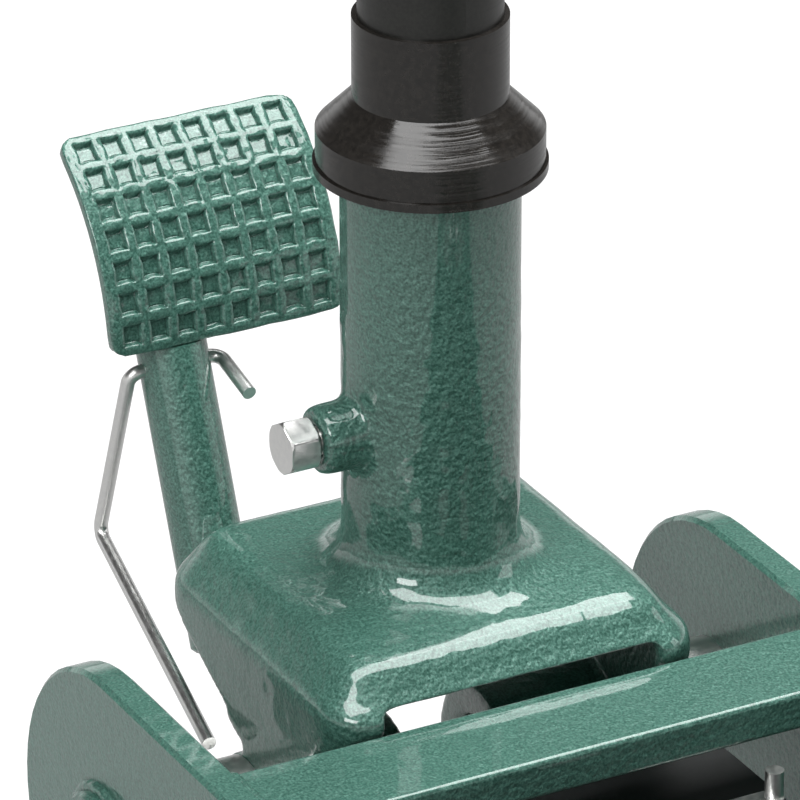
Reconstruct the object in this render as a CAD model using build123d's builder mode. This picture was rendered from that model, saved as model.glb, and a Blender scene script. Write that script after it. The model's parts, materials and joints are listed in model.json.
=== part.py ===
"""A long floor jack: hood-shaped yoke with a socket tube, foot pedal, pump, lifting arm and saddle.

The handle end is at low x and the saddle end at high x, y is across, z is up from the floor.
The origin is on the floor under the middle of the jack's length.
"""

import math
import os

from build123d import *

os.makedirs("parts", exist_ok=True)

# Fits between pieces
RUN = 0.05                    # radial gap of a pin that turns in its hole
GAP = 0.3                     # gap between faces of pieces that move past each other

# Side plates of the frame
PLATE_T = 12.0
FRAME_GAP = 224.0             # clear width between the plates
PLATE_REAR_R = 62.5           # round rear end, about the yoke's shaft
PLATE_NOSE_R = 35.0           # round front end, about the front axle
PLATE_EDGE = 1.5              # ground edge of the plates
PLATE_HIGH_RUN = 700.0        # how far the high part reaches in front of the yoke's shaft
PLATE_SLOPE_RUN = 150.0       # length of the slope down to the nose

# Heights from the floor and reaches in front of the yoke's shaft, which lies under the handle
SHAFT_Z = 95.0
FRONT_AXLE_REACH = 1130.0
ARM_PIVOT_REACH = 600.0
ARM_PIVOT_Z = 128.0
ARM_LENGTH = 475.3            # from the arm's pivot to the saddle's pin
SADDLE_PIN_Z = 110.0

# Bars and plates across the frame
REAR_BAR_REACH = 69.0         # to the near edge of the bar in front of the yoke
REAR_BAR_W = 40.5
REAR_BAR_H = 14.0
REAR_BAR_DROP = 3.5           # top of the bar below the top of the plates
REAR_BAR_EDGE = 2.0
TIE_T = 8.0
TIE_L = 120.0
TIE_REACH = 800.0
TIE_Z = 34.0                  # top of the plates that tie the frame at the bottom
CRADLE_T = 10.0
CRADLE_BACK = 15.0            # cradle's middle behind the cylinder's front end
CRADLE_TOP_Z = 118.0
BOLT_R = 5.0
BOLT_FLATS = 17.0
BOLT_HEAD = 7.0

# Yoke hood
HOOD_REAR = 70.0
HOOD_FRONT = 68.0
HOOD_HALF_W = 70.0
HOOD_TOP_Z = 175.0
HOOD_T = 8.0
HOOD_SLOPE_IN = 13.0          # the flanks slope in below the flat top
HOOD_SLOPE_DOWN = 18.0
HOOD_LIP = 15.0               # height of the lip over the open front
HOOD_OPEN_W = 104.0           # clear width under the lip
HOOD_CHEEK = 23.0             # height of the cheeks' front edges
HOOD_SKIRT = 25.0             # height of the skirt at the back
HOOD_REAR_CORNER = 20.0
HOOD_FRONT_CORNER = 18.0
HOOD_EDGE = 8.0
EAR_R = 24.0
HUB_R = 26.0                  # tubes on the shaft inside the cheeks
HUB_IN = 17.0                 # their inner ends from the middle
LUG_R = 13.0
LUG_T = 14.0
YOKE_SHAFT_R = 13.0
SPACER_R = 20.0
CAP_R = 21.0
CAP_T = 6.0

# Socket tube and handle
SOCKET_R = 30.15
SOCKET_BORE_R = 26.15
SOCKET_TOP_Z = 334.0
SOCKET_FLARE = 14.0
BOSS_R = 12.0
BOSS_REACH = 44.5
BOSS_Z = 228.7
SCREW_R = 5.0
SCREW_FLATS = 17.0
SCREW_STAND = 1.0
SCREW_HEAD = 11.0
HANDLE_R = 24.15
HANDLE_WALL = 3.5
HANDLE_FOOT_Z = 192.0
HANDLE_TOP_Z = 1150.0         # middle of the grip bar
COLLAR_FOOT_Z = 320.0
COLLAR_LIP_R = 39.0
COLLAR_LIP_H = 3.0
COLLAR_R = 38.1
COLLAR_NECK_R = 26.0
COLLAR_CONE_H = 12.0
COLLAR_NECK_H = 28.0
GRIP_BAR_R = 13.0
GRIP_SPAN = 320.0
GRIP_R = 15.0
GRIP_LENGTH = 110.0
GRIP_RIB = 1.4
GRIP_RIBS = 9

# Foot pedal
PAD_WIDTH = 89.5
PAD_R = 80.0
PAD_T = 4.0
PAD_LOW = 2.5                 # angles of the pad's two edges above the forward direction
PAD_HIGH = 61.1
PAD_CENTRE_BACK = 180.0       # centre of the pad's curve behind the handle
PAD_CENTRE_Z = 218.5
PAD_Y = -24.7
PAD_CORNER = 8.0
PEDAL_ARM_R = 12.5
PEDAL_ARM_Y = -42.0
PEDAL_ARM_LEAN = 21.9
PEDAL_ARM_BACK = 89.0         # arm's axis behind the handle at the height below
PEDAL_ARM_Z = 162.4
PEDAL_ARM_FOOT_Z = 118.0
PEDAL_ARM_TOP_Z = 247.0
LUG_PLATE_T = 12.0
DIMPLE = 6.8
DIMPLE_PITCH = 10.4
ROW_PITCH = 11.2
DIMPLE_DEPTH = 1.6
DIMPLE_COLUMNS = 8
DIMPLE_ROWS = 7
WIRE_R = 2.5
WIRE_BEND = 4.5
WIRE_Z = 211.0
WIRE_SIDE = 17.3              # bends either side of the pedal arm's axis
WIRE_STUB = 23.0              # stub in front of the pedal arm's axis
WIRE_STUB_FALL = 5.5
WIRE_BACK = 135.6             # low bend behind the handle
WIRE_LOW_Z = 138.0
WIRE_FRONT = 13.0             # tip of the lower leg behind the handle
WIRE_OUT = 78.0               # tip from the middle
WIRE_TIP_Z = 117.0

# Pump and power unit
ROLLER_DROP = 26.0            # pump roller's pin below the yoke's shaft
ROLLER_R = 11.0
ROLLER_PIN_R = 5.0
ROLLER_W = 30.0
PLUNGER_R = 9.0
PLUNGER_L = 84.0
PLUNGER_HEAD_R = 14.0
PLUNGER_HEAD_T = 6.0
PUMP_STROKE = 27.0
PUMP_BARREL_R = 20.0
PUMP_BARREL_L = 15.0
UNIT_REACH = 60.0
UNIT_L = 115.0
UNIT_W = 165.0
UNIT_TOP_Z = 112.0
UNIT_EDGE = 4.0
CYLINDER_R = 38.0
CYLINDER_BORE_R = 31.0
CYLINDER_Z = 73.0
GLAND_R = 43.0
GLAND_T = 16.0
RAM_R = 26.0
RAM_IN = 110.0                # length of rod inside the cylinder
RAM_SHOWN = 80.0              # and between the gland nut and the pusher at rest
PUSHER_T = 20.0
PUSHER_W = 60.0
PUSHER_LOW_Z = 35.0
PUSHER_H = 55.0
PUSHER_GAP = 1.5              # clear of the horn's roller at rest
PLUG_R = 11.0
PLUG_H = 8.0
VALVE_REACH = 118.0
VALVE_Y = 66.0
VALVE_R = 3.2
VALVE_H = 30.0
LEVER_L = 44.0
LEVER_T = 5.0

# Lifting arm
ARM_PLATE_T = 10.0
ARM_HALF_W = 62.0             # outer face of each arm plate from the middle
ARM_BOSS_R = 32.0
ARM_TIP_R = 22.0
HORN_LENGTH = 80.0
HORN_ANGLE = 125.0            # horn below the forward direction at rest
HORN_R = 22.0
HORN_ROLLER_R = 16.0
HORN_ROLLER_W = 44.0
HORN_PIN_R = 9.0
ARM_SHAFT_R = 15.0
WEB_L = 290.0
WEB_T = 10.0
WEB_RAISE = 8.0
TIP_PIN_R = 10.0
LINK_AHEAD = 18.0             # link's frame pin ahead of the arm's pivot
LINK_BELOW = 40.0             # and below it
LINK_IN = 66.0                # inner face of each link bar from the middle
LINK_T = 10.0
LINK_H = 16.0
LINK_EYE_R = 13.0
LINK_PIN_R = 7.0
LINK_BOSS_R = 14.0

# Saddle
CARRIER_HALF_W = 38.0
CARRIER_EYE_R = 16.0
CARRIER_TOP_L = 76.0
CARRIER_TOP_T = 16.0
CARRIER_TOP_Z = 149.7
SADDLE_SHIFT = 5.0            # saddle's middle ahead of its pin
SADDLE_R = 55.0
SADDLE_H = 22.0
SADDLE_DISH_R = 44.0
SADDLE_DISH = 7.0
SADDLE_POST_R = 12.0
SADDLE_POST_L = 14.0
SADDLE_TEETH = 8

# Wheels
WHEEL_R = 60.0
WHEEL_W = 40.0
WHEEL_HUB_R = 24.0
WHEEL_STAND = 3.5             # inner side of the wheel off the plate
FRONT_AXLE_R = 12.0
AXLE_CAP_R = 19.0
AXLE_CAP_T = 8.0
CASTER_REACH = 130.0
CASTER_OUT = 191.0
CASTER_PLATE_Z = 97.0
CASTER_PLATE_T = 10.0
CASTER_PLATE_L = 90.0
CASTER_PLATE_OUT = 30.0
GUSSET_T = 8.0
GUSSET_H = 30.0
CASTER_R = 37.5
CASTER_W = 28.0
CASTER_TRAIL = 25.0
CASTER_AXLE_R = 6.0
STEM_R = 8.0
STEM_NUT_R = 13.0
STEM_NUT_H = 8.0
FORK_TOP_Z = 85.0
FORK_T = 4.0
FORK_GAP = 32.0
FORK_L = 46.0
FORK_EYE_R = 12.0

# Worked out from the values above
rear_reach = PAD_CENTRE_BACK - (PAD_R - PAD_T) * math.cos(math.radians(PAD_HIGH))
front_reach = FRONT_AXLE_REACH + WHEEL_R
HANDLE_X = (rear_reach - front_reach) / 2
arm_x = HANDLE_X + ARM_PIVOT_REACH
front_axle_x = HANDLE_X + FRONT_AXLE_REACH
plate_top_z = SHAFT_Z + PLATE_REAR_R
plate_in = FRAME_GAP / 2
plate_out = plate_in + PLATE_T
roller_z = SHAFT_Z - ROLLER_DROP
unit_x = HANDLE_X + UNIT_REACH
cylinder_x = unit_x + UNIT_L
tip_x = arm_x + math.sqrt(ARM_LENGTH ** 2 - (ARM_PIVOT_Z - SADDLE_PIN_Z) ** 2)
arm_fall = math.degrees(math.asin((ARM_PIVOT_Z - SADDLE_PIN_Z) / ARM_LENGTH))
horn_x = arm_x + HORN_LENGTH * math.cos(math.radians(HORN_ANGLE))
horn_z = ARM_PIVOT_Z - HORN_LENGTH * math.sin(math.radians(HORN_ANGLE))
pusher_x = horn_x - HORN_ROLLER_R - PUSHER_GAP
gland_x = pusher_x - PUSHER_T - RAM_SHOWN - GLAND_T
cradle_x = gland_x - CRADLE_BACK
hub_lug = HUB_IN + LUG_T
wire_hole_x = HANDLE_X - PEDAL_ARM_BACK - (WIRE_Z - PEDAL_ARM_Z) * math.tan(math.radians(PEDAL_ARM_LEAN))
arm_inner = ARM_HALF_W - ARM_PLATE_T
link_out = LINK_IN + LINK_T
saddle_x = tip_x + SADDLE_SHIFT


def finish(piece, name):
    """Label a finished piece and write its file."""
    piece.part.label = name
    export_step(piece.part, f"parts/{name}.step")


def upright(y):
    """Plane across y whose sketch directions are x and z, extruding towards low y."""
    return Plane.XZ.offset(-y)


def facing(x):
    """Plane across x whose sketch directions are y and z, extruding towards high x."""
    return Plane.YZ.offset(x)


# Side plates, one each side: round at both ends, high over the power unit, sloping to the nose
for side, y_face in (("right", -plate_in), ("left", plate_out)):
    with BuildPart() as side_plate:
        with BuildSketch(upright(y_face)):
            with BuildLine():
                nose_low = (front_axle_x, WHEEL_R - PLATE_NOSE_R)
                nose_tip = (front_axle_x + PLATE_NOSE_R, WHEEL_R)
                nose_high = (front_axle_x, WHEEL_R + PLATE_NOSE_R)
                slope_top = (HANDLE_X + PLATE_HIGH_RUN, plate_top_z)
                slope_foot = (slope_top[0] + PLATE_SLOPE_RUN, nose_high[1])
                rear_top = (HANDLE_X, plate_top_z)
                rear_end = (HANDLE_X - PLATE_REAR_R, SHAFT_Z)
                rear_low = (HANDLE_X, SHAFT_Z - PLATE_REAR_R)
                Line(rear_low, nose_low)
                ThreePointArc(nose_low, nose_tip, nose_high)
                FilletPolyline(nose_high, slope_foot, slope_top, rear_top, radius=PLATE_REAR_R)
                ThreePointArc(rear_top, rear_end, rear_low)
            make_face()
        extrude(amount=PLATE_T)
        rims = side_plate.edges().filter_by(lambda e: abs(e.bounding_box().size.Y) < 0.01)
        chamfer(rims, PLATE_EDGE)
        with BuildSketch(upright(y_face)):
            with Locations((HANDLE_X, SHAFT_Z)):
                Circle(YOKE_SHAFT_R)
            with Locations((arm_x, ARM_PIVOT_Z)):
                Circle(ARM_SHAFT_R)
            with Locations((front_axle_x, WHEEL_R)):
                Circle(FRONT_AXLE_R)
        extrude(amount=PLATE_T, mode=Mode.SUBTRACT)
    finish(side_plate, f"side_plate_{side}")

# Flat bar across the top just in front of the yoke
with BuildPart() as rear_bar:
    with BuildSketch(Plane.XY.offset(plate_top_z - REAR_BAR_DROP)):
        with Locations((HANDLE_X + REAR_BAR_REACH + REAR_BAR_W / 2, 0)):
            Rectangle(REAR_BAR_W, FRAME_GAP)
    extrude(amount=-REAR_BAR_H)
    fillet(rear_bar.edges().filter_by(Axis.Y), REAR_BAR_EDGE)
finish(rear_bar, "rear_cross_bar")

# Plates across the bottom: one carries the power unit, one ties the frame under the arm
for name, middle, length in (
    ("unit_base_plate", HANDLE_X + UNIT_REACH + UNIT_L / 2, UNIT_L),
    ("front_tie_plate", HANDLE_X + TIE_REACH, TIE_L),
):
    with BuildPart() as tie:
        with BuildSketch(Plane.XY.offset(TIE_Z)):
            with Locations((middle, 0)):
                Rectangle(length, FRAME_GAP)
        extrude(amount=-TIE_T)
    finish(tie, name)

# Upright plate that holds the front of the lift cylinder
with BuildPart() as cradle:
    with BuildSketch(facing(cradle_x - CRADLE_T / 2)):
        with Locations((0, (TIE_Z + CRADLE_TOP_Z) / 2)):
            Rectangle(FRAME_GAP, CRADLE_TOP_Z - TIE_Z)
        with Locations((0, CYLINDER_Z)):
            Circle(CYLINDER_R, mode=Mode.SUBTRACT)
    extrude(amount=CRADLE_T)
finish(cradle, "cylinder_cradle")

# Shaft that carries the yoke, with a spacer each side and an end cap outside each plate
with BuildPart() as yoke_shaft:
    with BuildSketch(upright(plate_out)):
        with Locations((HANDLE_X, SHAFT_Z)):
            Circle(YOKE_SHAFT_R)
    extrude(amount=2 * plate_out)
finish(yoke_shaft, "yoke_shaft")

with BuildPart() as yoke_spacers:
    for y_face, y_end in ((plate_in, HOOD_HALF_W + GAP), (-HOOD_HALF_W - GAP, -plate_in)):
        with BuildSketch(upright(y_face)):
            with Locations((HANDLE_X, SHAFT_Z)):
                Circle(SPACER_R)
                Circle(YOKE_SHAFT_R, mode=Mode.SUBTRACT)
        extrude(amount=y_face - y_end)
finish(yoke_spacers, "yoke_shaft_spacers")

# Shaft that carries the lifting arm, with its spacers
with BuildPart() as arm_shaft:
    with BuildSketch(upright(plate_out)):
        with Locations((arm_x, ARM_PIVOT_Z)):
            Circle(ARM_SHAFT_R)
    extrude(amount=2 * plate_out)
finish(arm_shaft, "arm_shaft")

with BuildPart() as arm_spacers:
    for y_face, y_end in ((plate_in, ARM_HALF_W + GAP), (-ARM_HALF_W - GAP, -plate_in)):
        with BuildSketch(upright(y_face)):
            with Locations((arm_x, ARM_PIVOT_Z)):
                Circle(SPACER_R)
                Circle(ARM_SHAFT_R, mode=Mode.SUBTRACT)
        extrude(amount=y_face - y_end)
finish(arm_spacers, "arm_shaft_spacers")

# End caps of both shafts, outside the plates
with BuildPart() as shaft_caps:
    for y_face in (plate_out + CAP_T, -plate_out):
        with BuildSketch(upright(y_face)):
            with Locations((HANDLE_X, SHAFT_Z), (arm_x, ARM_PIVOT_Z)):
                Circle(CAP_R)
        extrude(amount=CAP_T)
    outer = shaft_caps.edges().filter_by(GeomType.CIRCLE).group_by(Axis.Y)
    chamfer(outer[0] + outer[-1], 1.5)
finish(shaft_caps, "shaft_end_caps")

# Stub pins on the plates for the two levelling links
with BuildPart() as link_stubs:
    for y_face, y_step, y_end in (
        (plate_in, link_out + GAP, LINK_IN - 1.5),
        (-LINK_IN + 1.5, -link_out - GAP, -plate_in),
    ):
        inner_r = LINK_BOSS_R if y_face > 0 else LINK_PIN_R
        outer_r = LINK_PIN_R if y_face > 0 else LINK_BOSS_R
        with BuildSketch(upright(y_face)):
            with Locations((arm_x + LINK_AHEAD, ARM_PIVOT_Z - LINK_BELOW)):
                Circle(inner_r)
        extrude(amount=y_face - y_step)
        with BuildSketch(upright(y_step)):
            with Locations((arm_x + LINK_AHEAD, ARM_PIVOT_Z - LINK_BELOW)):
                Circle(outer_r)
        extrude(amount=y_step - y_end)
finish(link_stubs, "link_stub_pins")

# Front axle right across, the collars inside the wheels and the caps outside them
with BuildPart() as front_axle:
    axle_half = plate_out + WHEEL_STAND + WHEEL_W + GAP + AXLE_CAP_T
    with BuildSketch(upright(axle_half)):
        with Locations((front_axle_x, WHEEL_R)):
            Circle(FRONT_AXLE_R)
    extrude(amount=2 * axle_half)
finish(front_axle, "front_axle")

with BuildPart() as axle_caps:
    for y_face in (axle_half, -axle_half + AXLE_CAP_T):
        with BuildSketch(upright(y_face)):
            with Locations((front_axle_x, WHEEL_R)):
                Circle(AXLE_CAP_R)
                Circle(FRONT_AXLE_R, mode=Mode.SUBTRACT)
        extrude(amount=AXLE_CAP_T)
    for y_face in (plate_out + WHEEL_STAND - GAP, -plate_out):
        with BuildSketch(upright(y_face)):
            with Locations((front_axle_x, WHEEL_R)):
                Circle(AXLE_CAP_R)
                Circle(FRONT_AXLE_R, mode=Mode.SUBTRACT)
        extrude(amount=WHEEL_STAND - GAP)
finish(axle_caps, "axle_collars")

# Caster brackets: a flat plate out from each side plate with two gussets on top
for side, sign in (("right", -1), ("left", 1)):
    with BuildPart() as bracket:
        reach_out = CASTER_OUT + CASTER_PLATE_OUT - plate_out
        caster_x = HANDLE_X + CASTER_REACH
        with BuildSketch(Plane.XY.offset(CASTER_PLATE_Z)):
            with Locations((caster_x, sign * (plate_out + reach_out / 2))):
                Rectangle(CASTER_PLATE_L, reach_out)
            with Locations((caster_x, sign * CASTER_OUT)):
                Circle(STEM_R + RUN, mode=Mode.SUBTRACT)
        extrude(amount=CASTER_PLATE_T)
        for gusset_x in (caster_x - CASTER_PLATE_L / 2, caster_x + CASTER_PLATE_L / 2 - GUSSET_T):
            with BuildSketch(facing(gusset_x)):
                plate_z = CASTER_PLATE_Z + CASTER_PLATE_T
                with BuildLine():
                    Polyline(
                        (sign * plate_out, plate_z),
                        (sign * (plate_out + reach_out * 0.7), plate_z),
                        (sign * plate_out, plate_z + GUSSET_H),
                        close=True,
                    )
                make_face()
            extrude(amount=GUSSET_T)
    finish(bracket, f"caster_bracket_{side}")

# Power unit: a block with the pump barrel at its rear face
with BuildPart() as unit_block:
    with BuildSketch(Plane.XY.offset(TIE_Z)):
        with Locations((unit_x + UNIT_L / 2, 0)):
            Rectangle(UNIT_L, UNIT_W)
    extrude(amount=UNIT_TOP_Z - TIE_Z)
    chamfer(unit_block.edges().filter_by(Axis.Z) + unit_block.faces().sort_by(Axis.Z)[-1].edges(), UNIT_EDGE)
    with BuildSketch(facing(unit_x - PUMP_BARREL_L)):
        with Locations((0, roller_z)):
            Circle(PUMP_BARREL_R)
    extrude(amount=PUMP_BARREL_L + UNIT_L / 2)
    with BuildSketch(facing(unit_x - PUMP_BARREL_L)):
        with Locations((0, roller_z)):
            Circle(PLUNGER_R + RUN)
    extrude(amount=PLUNGER_L + PUMP_BARREL_L, mode=Mode.SUBTRACT)
    with BuildSketch(Plane.XY.offset(UNIT_TOP_Z)):
        with Locations((HANDLE_X + VALVE_REACH, VALVE_Y)):
            Circle(VALVE_R)
    extrude(amount=-VALVE_H / 2, mode=Mode.SUBTRACT)
finish(unit_block, "power_unit_block")

# Oil filler plug on the block
with BuildPart() as filler_plug:
    with BuildSketch(Plane.XY.offset(UNIT_TOP_Z)):
        with Locations((unit_x + UNIT_L * 0.7, -UNIT_W / 4)):
            RegularPolygon(PLUG_R, 6)
    extrude(amount=PLUG_H)
finish(filler_plug, "oil_filler_plug")

# Release valve spindle and its flat lever, just in front of the cross bar
with BuildPart() as release_valve:
    valve_x = HANDLE_X + VALVE_REACH
    with BuildSketch(Plane.XY.offset(UNIT_TOP_Z - VALVE_H / 2)):
        with Locations((valve_x, VALVE_Y)):
            Circle(VALVE_R)
    extrude(amount=VALVE_H * 1.2)
    with BuildSketch(Plane.XY.offset(UNIT_TOP_Z + VALVE_H / 5)):
        with Locations((valve_x, VALVE_Y - LEVER_L / 2 + VALVE_R)):
            SlotOverall(LEVER_L, 3 * VALVE_R, rotation=90)
    extrude(amount=LEVER_T)
finish(release_valve, "release_valve")

# Lift cylinder and the nut that closes its front
with BuildPart() as cylinder:
    with BuildSketch(facing(cylinder_x)):
        with Locations((0, CYLINDER_Z)):
            Circle(CYLINDER_R)
    extrude(amount=gland_x - cylinder_x)
    with BuildSketch(facing(gland_x - RAM_IN - 20)):
        with Locations((0, CYLINDER_Z)):
            Circle(CYLINDER_BORE_R)
    extrude(amount=RAM_IN + 20, mode=Mode.SUBTRACT)
finish(cylinder, "lift_cylinder")

with BuildPart() as gland_nut:
    with BuildSketch(facing(gland_x)):
        with Locations((0, CYLINDER_Z)):
            Circle(GLAND_R)
            Circle(RAM_R + RUN, mode=Mode.SUBTRACT)
    extrude(amount=GLAND_T)
    chamfer(gland_nut.faces().sort_by(Axis.X)[-1].edges().sort_by(SortBy.LENGTH)[-1], 2.0)
finish(gland_nut, "gland_nut")

# Bolts through the side plates into the cradle and the bottom plates
with BuildPart() as frame_bolts:
    low_z = TIE_Z + 12
    high_z = CRADLE_TOP_Z - 14
    for y_face in (plate_out + BOLT_HEAD, -plate_out):
        with BuildSketch(upright(y_face)):
            with Locations((cradle_x, low_z), (cradle_x, high_z)):
                RegularPolygon(BOLT_FLATS / 2, 6, major_radius=False)
        extrude(amount=BOLT_HEAD)
finish(frame_bolts, "frame_bolts")

# Yoke hood: sloping flanks round a flat top, cut to its side outline, hollow below,
# with an ear each side and a tube inside each ear on the shaft
foot_z = HOOD_TOP_Z - HOOD_SLOPE_DOWN
slope = math.atan2(HOOD_SLOPE_IN, HOOD_SLOPE_DOWN)
hood_low_z = SHAFT_Z - EAR_R - 1
hollow_top_z = HOOD_TOP_Z - HOOD_T
hollow_foot_z = foot_z - HOOD_T * math.tan(slope / 2)
with BuildPart() as handle_yoke:
    with BuildSketch(Plane.XY.offset(foot_z)) as hood_plan:
        with Locations((HANDLE_X + (HOOD_FRONT - HOOD_REAR) / 2, 0)):
            Rectangle(HOOD_FRONT + HOOD_REAR, 2 * HOOD_HALF_W)
        fillet(hood_plan.vertices().group_by(Axis.X)[0], HOOD_REAR_CORNER)
        fillet(hood_plan.vertices().group_by(Axis.X)[-1], HOOD_FRONT_CORNER)
    extrude(amount=hood_low_z - foot_z)
    extrude(hood_plan.sketch, amount=HOOD_SLOPE_DOWN, taper=math.degrees(slope))
    rims = handle_yoke.edges().filter_by(lambda e: e.bounding_box().size.Z < 0.01 and e.center().Z > foot_z - 1)
    fillet(rims, HOOD_EDGE)
    with BuildSketch(upright(HOOD_HALF_W + 1)):
        skirt_z = HOOD_TOP_Z - HOOD_SKIRT
        back_x = HANDLE_X - HOOD_REAR
        front_x = HANDLE_X + HOOD_FRONT
        with BuildLine():
            Polyline(
                (back_x - 1, HOOD_TOP_Z + 1),
                (front_x + 1, HOOD_TOP_Z + 1),
                (front_x + 1, HOOD_TOP_Z - HOOD_CHEEK),
                (front_x, HOOD_TOP_Z - HOOD_CHEEK),
                (front_x - 20, HOOD_TOP_Z - HOOD_CHEEK - 14),
                (HANDLE_X + EAR_R + 2, SHAFT_Z + EAR_R * 0.7),
                (HANDLE_X + EAR_R * 0.97, SHAFT_Z + EAR_R * 0.25),
                (HANDLE_X - EAR_R * 0.96, SHAFT_Z + EAR_R * 0.28),
                (HANDLE_X - EAR_R * 0.67, SHAFT_Z + EAR_R * 1.33),
                (back_x + HOOD_T, skirt_z),
                (back_x - 1, skirt_z),
                close=True,
            )
        make_face()
        with Locations((HANDLE_X, SHAFT_Z)):
            Circle(EAR_R)
    extrude(amount=2 * HOOD_HALF_W + 2, mode=Mode.INTERSECT)
    with BuildSketch(Plane.XY.offset(hollow_foot_z)) as hollow_plan:
        with Locations((HANDLE_X + (HOOD_FRONT - HOOD_REAR) / 2, 0)):
            Rectangle(HOOD_FRONT + HOOD_REAR - 2 * HOOD_T, 2 * HOOD_HALF_W - 2 * HOOD_T)
        fillet(hollow_plan.vertices().group_by(Axis.X)[0], HOOD_REAR_CORNER - HOOD_T)
        fillet(hollow_plan.vertices().group_by(Axis.X)[-1], HOOD_FRONT_CORNER - HOOD_T)
    extrude(amount=-hollow_foot_z, mode=Mode.SUBTRACT)
    extrude(hollow_plan.sketch, amount=hollow_top_z - hollow_foot_z, taper=math.degrees(slope), mode=Mode.SUBTRACT)
    with BuildSketch(Plane.XY.offset(HOOD_TOP_Z - HOOD_LIP)):
        with Locations((front_x, 0)):
            Rectangle(HOOD_FRONT, HOOD_OPEN_W)
    extrude(amount=-HOOD_TOP_Z, mode=Mode.SUBTRACT)
    for y_face, lug_face in ((HOOD_HALF_W - HOOD_T, hub_lug), (-HUB_IN, -HUB_IN)):
        with BuildSketch(upright(y_face)):
            with Locations((HANDLE_X, SHAFT_Z)):
                Circle(HUB_R)
        extrude(amount=HOOD_HALF_W - HOOD_T - HUB_IN)
        with BuildSketch(upright(lug_face)):
            with Locations((HANDLE_X, roller_z)):
                Circle(LUG_R)
            with Locations((HANDLE_X, (SHAFT_Z + roller_z) / 2)):
                Rectangle(2 * LUG_R, ROLLER_DROP)
        extrude(amount=LUG_T)
    with BuildSketch(upright(HOOD_HALF_W + 1)):
        with Locations((HANDLE_X, SHAFT_Z)):
            Circle(YOKE_SHAFT_R + RUN)
        with Locations((HANDLE_X, roller_z)):
            Circle(ROLLER_PIN_R)
    extrude(amount=2 * HOOD_HALF_W + 2, mode=Mode.SUBTRACT)
finish(handle_yoke, "handle_yoke")

# Socket tube on the hood, flared at its foot, with a boss for the clamp screw
with BuildPart() as socket:
    with BuildSketch(upright(0)):
        with BuildLine():
            foot = (HANDLE_X + SOCKET_R + SOCKET_FLARE, HOOD_TOP_Z)
            neck = (HANDLE_X + SOCKET_R, HOOD_TOP_Z + SOCKET_FLARE)
            Line((HANDLE_X, HOOD_TOP_Z), foot)
            RadiusArc(foot, neck, SOCKET_FLARE)
            Polyline(neck, (HANDLE_X + SOCKET_R, SOCKET_TOP_Z), (HANDLE_X, SOCKET_TOP_Z), (HANDLE_X, HOOD_TOP_Z))
        make_face()
    revolve(axis=Axis((HANDLE_X, 0, 0), (0, 0, 1)))
    with BuildSketch(upright(0)):
        with Locations((HANDLE_X, BOSS_Z)):
            Circle(BOSS_R)
    extrude(amount=BOSS_REACH)
    chamfer(socket.faces().sort_by(Axis.Y)[0].edges(), 1.0)
    with BuildSketch(Plane.XY.offset(HOOD_TOP_Z)):
        with Locations((HANDLE_X, 0)):
            Circle(SOCKET_BORE_R)
    extrude(amount=SOCKET_TOP_Z - HOOD_TOP_Z, mode=Mode.SUBTRACT)
    with BuildSketch(upright(0)):
        with Locations((HANDLE_X, BOSS_Z)):
            Circle(SCREW_R)
    extrude(amount=BOSS_REACH, mode=Mode.SUBTRACT)
finish(socket, "handle_socket")

# Hexagon clamp screw in the boss, ending just clear of the handle
with BuildPart() as clamp_screw:
    head_y = -BOSS_REACH - SCREW_STAND
    tip_y = -HANDLE_R - GAP
    with BuildSketch(upright(head_y)):
        with Locations((HANDLE_X, BOSS_Z)):
            RegularPolygon(SCREW_FLATS / 2, 6, major_radius=False)
    extrude(amount=SCREW_HEAD)
    ends = clamp_screw.faces().filter_by(Axis.Y)
    chamfer(ends.edges(), 0.9)
    with BuildSketch(upright(tip_y)):
        with Locations((HANDLE_X, BOSS_Z)):
            Circle(SCREW_R)
    extrude(amount=tip_y - head_y)
finish(clamp_screw, "clamp_screw")

# Round arm of the foot pedal, leaning back, notched for the pad and drilled for the wire
lean = math.radians(PEDAL_ARM_LEAN)
arm_plane = Plane(
    origin=(HANDLE_X - PEDAL_ARM_BACK, PEDAL_ARM_Y, PEDAL_ARM_Z),
    x_dir=(0, 1, 0),
    z_dir=(-math.sin(lean), 0, math.cos(lean)),
)
pad_x = HANDLE_X - PAD_CENTRE_BACK
with BuildPart() as pedal_arm:
    with BuildSketch(arm_plane.offset((PEDAL_ARM_FOOT_Z - PEDAL_ARM_Z) / math.cos(lean))):
        Circle(PEDAL_ARM_R)
    extrude(amount=(PEDAL_ARM_TOP_Z - PEDAL_ARM_FOOT_Z) / math.cos(lean))
    chamfer(pedal_arm.faces().sort_by(Axis.Z)[0].edges(), 1.5)
    with BuildSketch(upright(PEDAL_ARM_Y + PAD_WIDTH / 2)):
        with BuildLine():
            low = math.radians(PAD_LOW - 0.3)
            inner = PAD_R - PAD_T
            cut_from = (pad_x + inner * math.cos(low), PAD_CENTRE_Z + inner * math.sin(low))
            cut_back = (pad_x - inner, PAD_CENTRE_Z)
            cut_mid = (pad_x + inner * math.cos(1.4), PAD_CENTRE_Z + inner * math.sin(1.4))
            cut_out = (cut_from[0] + PAD_R, cut_from[1] + PAD_R * math.tan(low))
            ThreePointArc(cut_from, cut_mid, cut_back)
            Polyline(cut_back, (cut_back[0], cut_back[1] + 3 * PAD_R), (cut_out[0], cut_out[1] + 3 * PAD_R), cut_out)
            Line(cut_out, cut_from)
        make_face()
    extrude(amount=PAD_WIDTH, mode=Mode.SUBTRACT)
    with BuildSketch(upright(PEDAL_ARM_Y + 2 * PEDAL_ARM_R)):
        with Locations((wire_hole_x, WIRE_Z)):
            Circle(WIRE_R + RUN)
    extrude(amount=4 * PEDAL_ARM_R, mode=Mode.SUBTRACT)
finish(pedal_arm, "pedal_arm")

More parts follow.
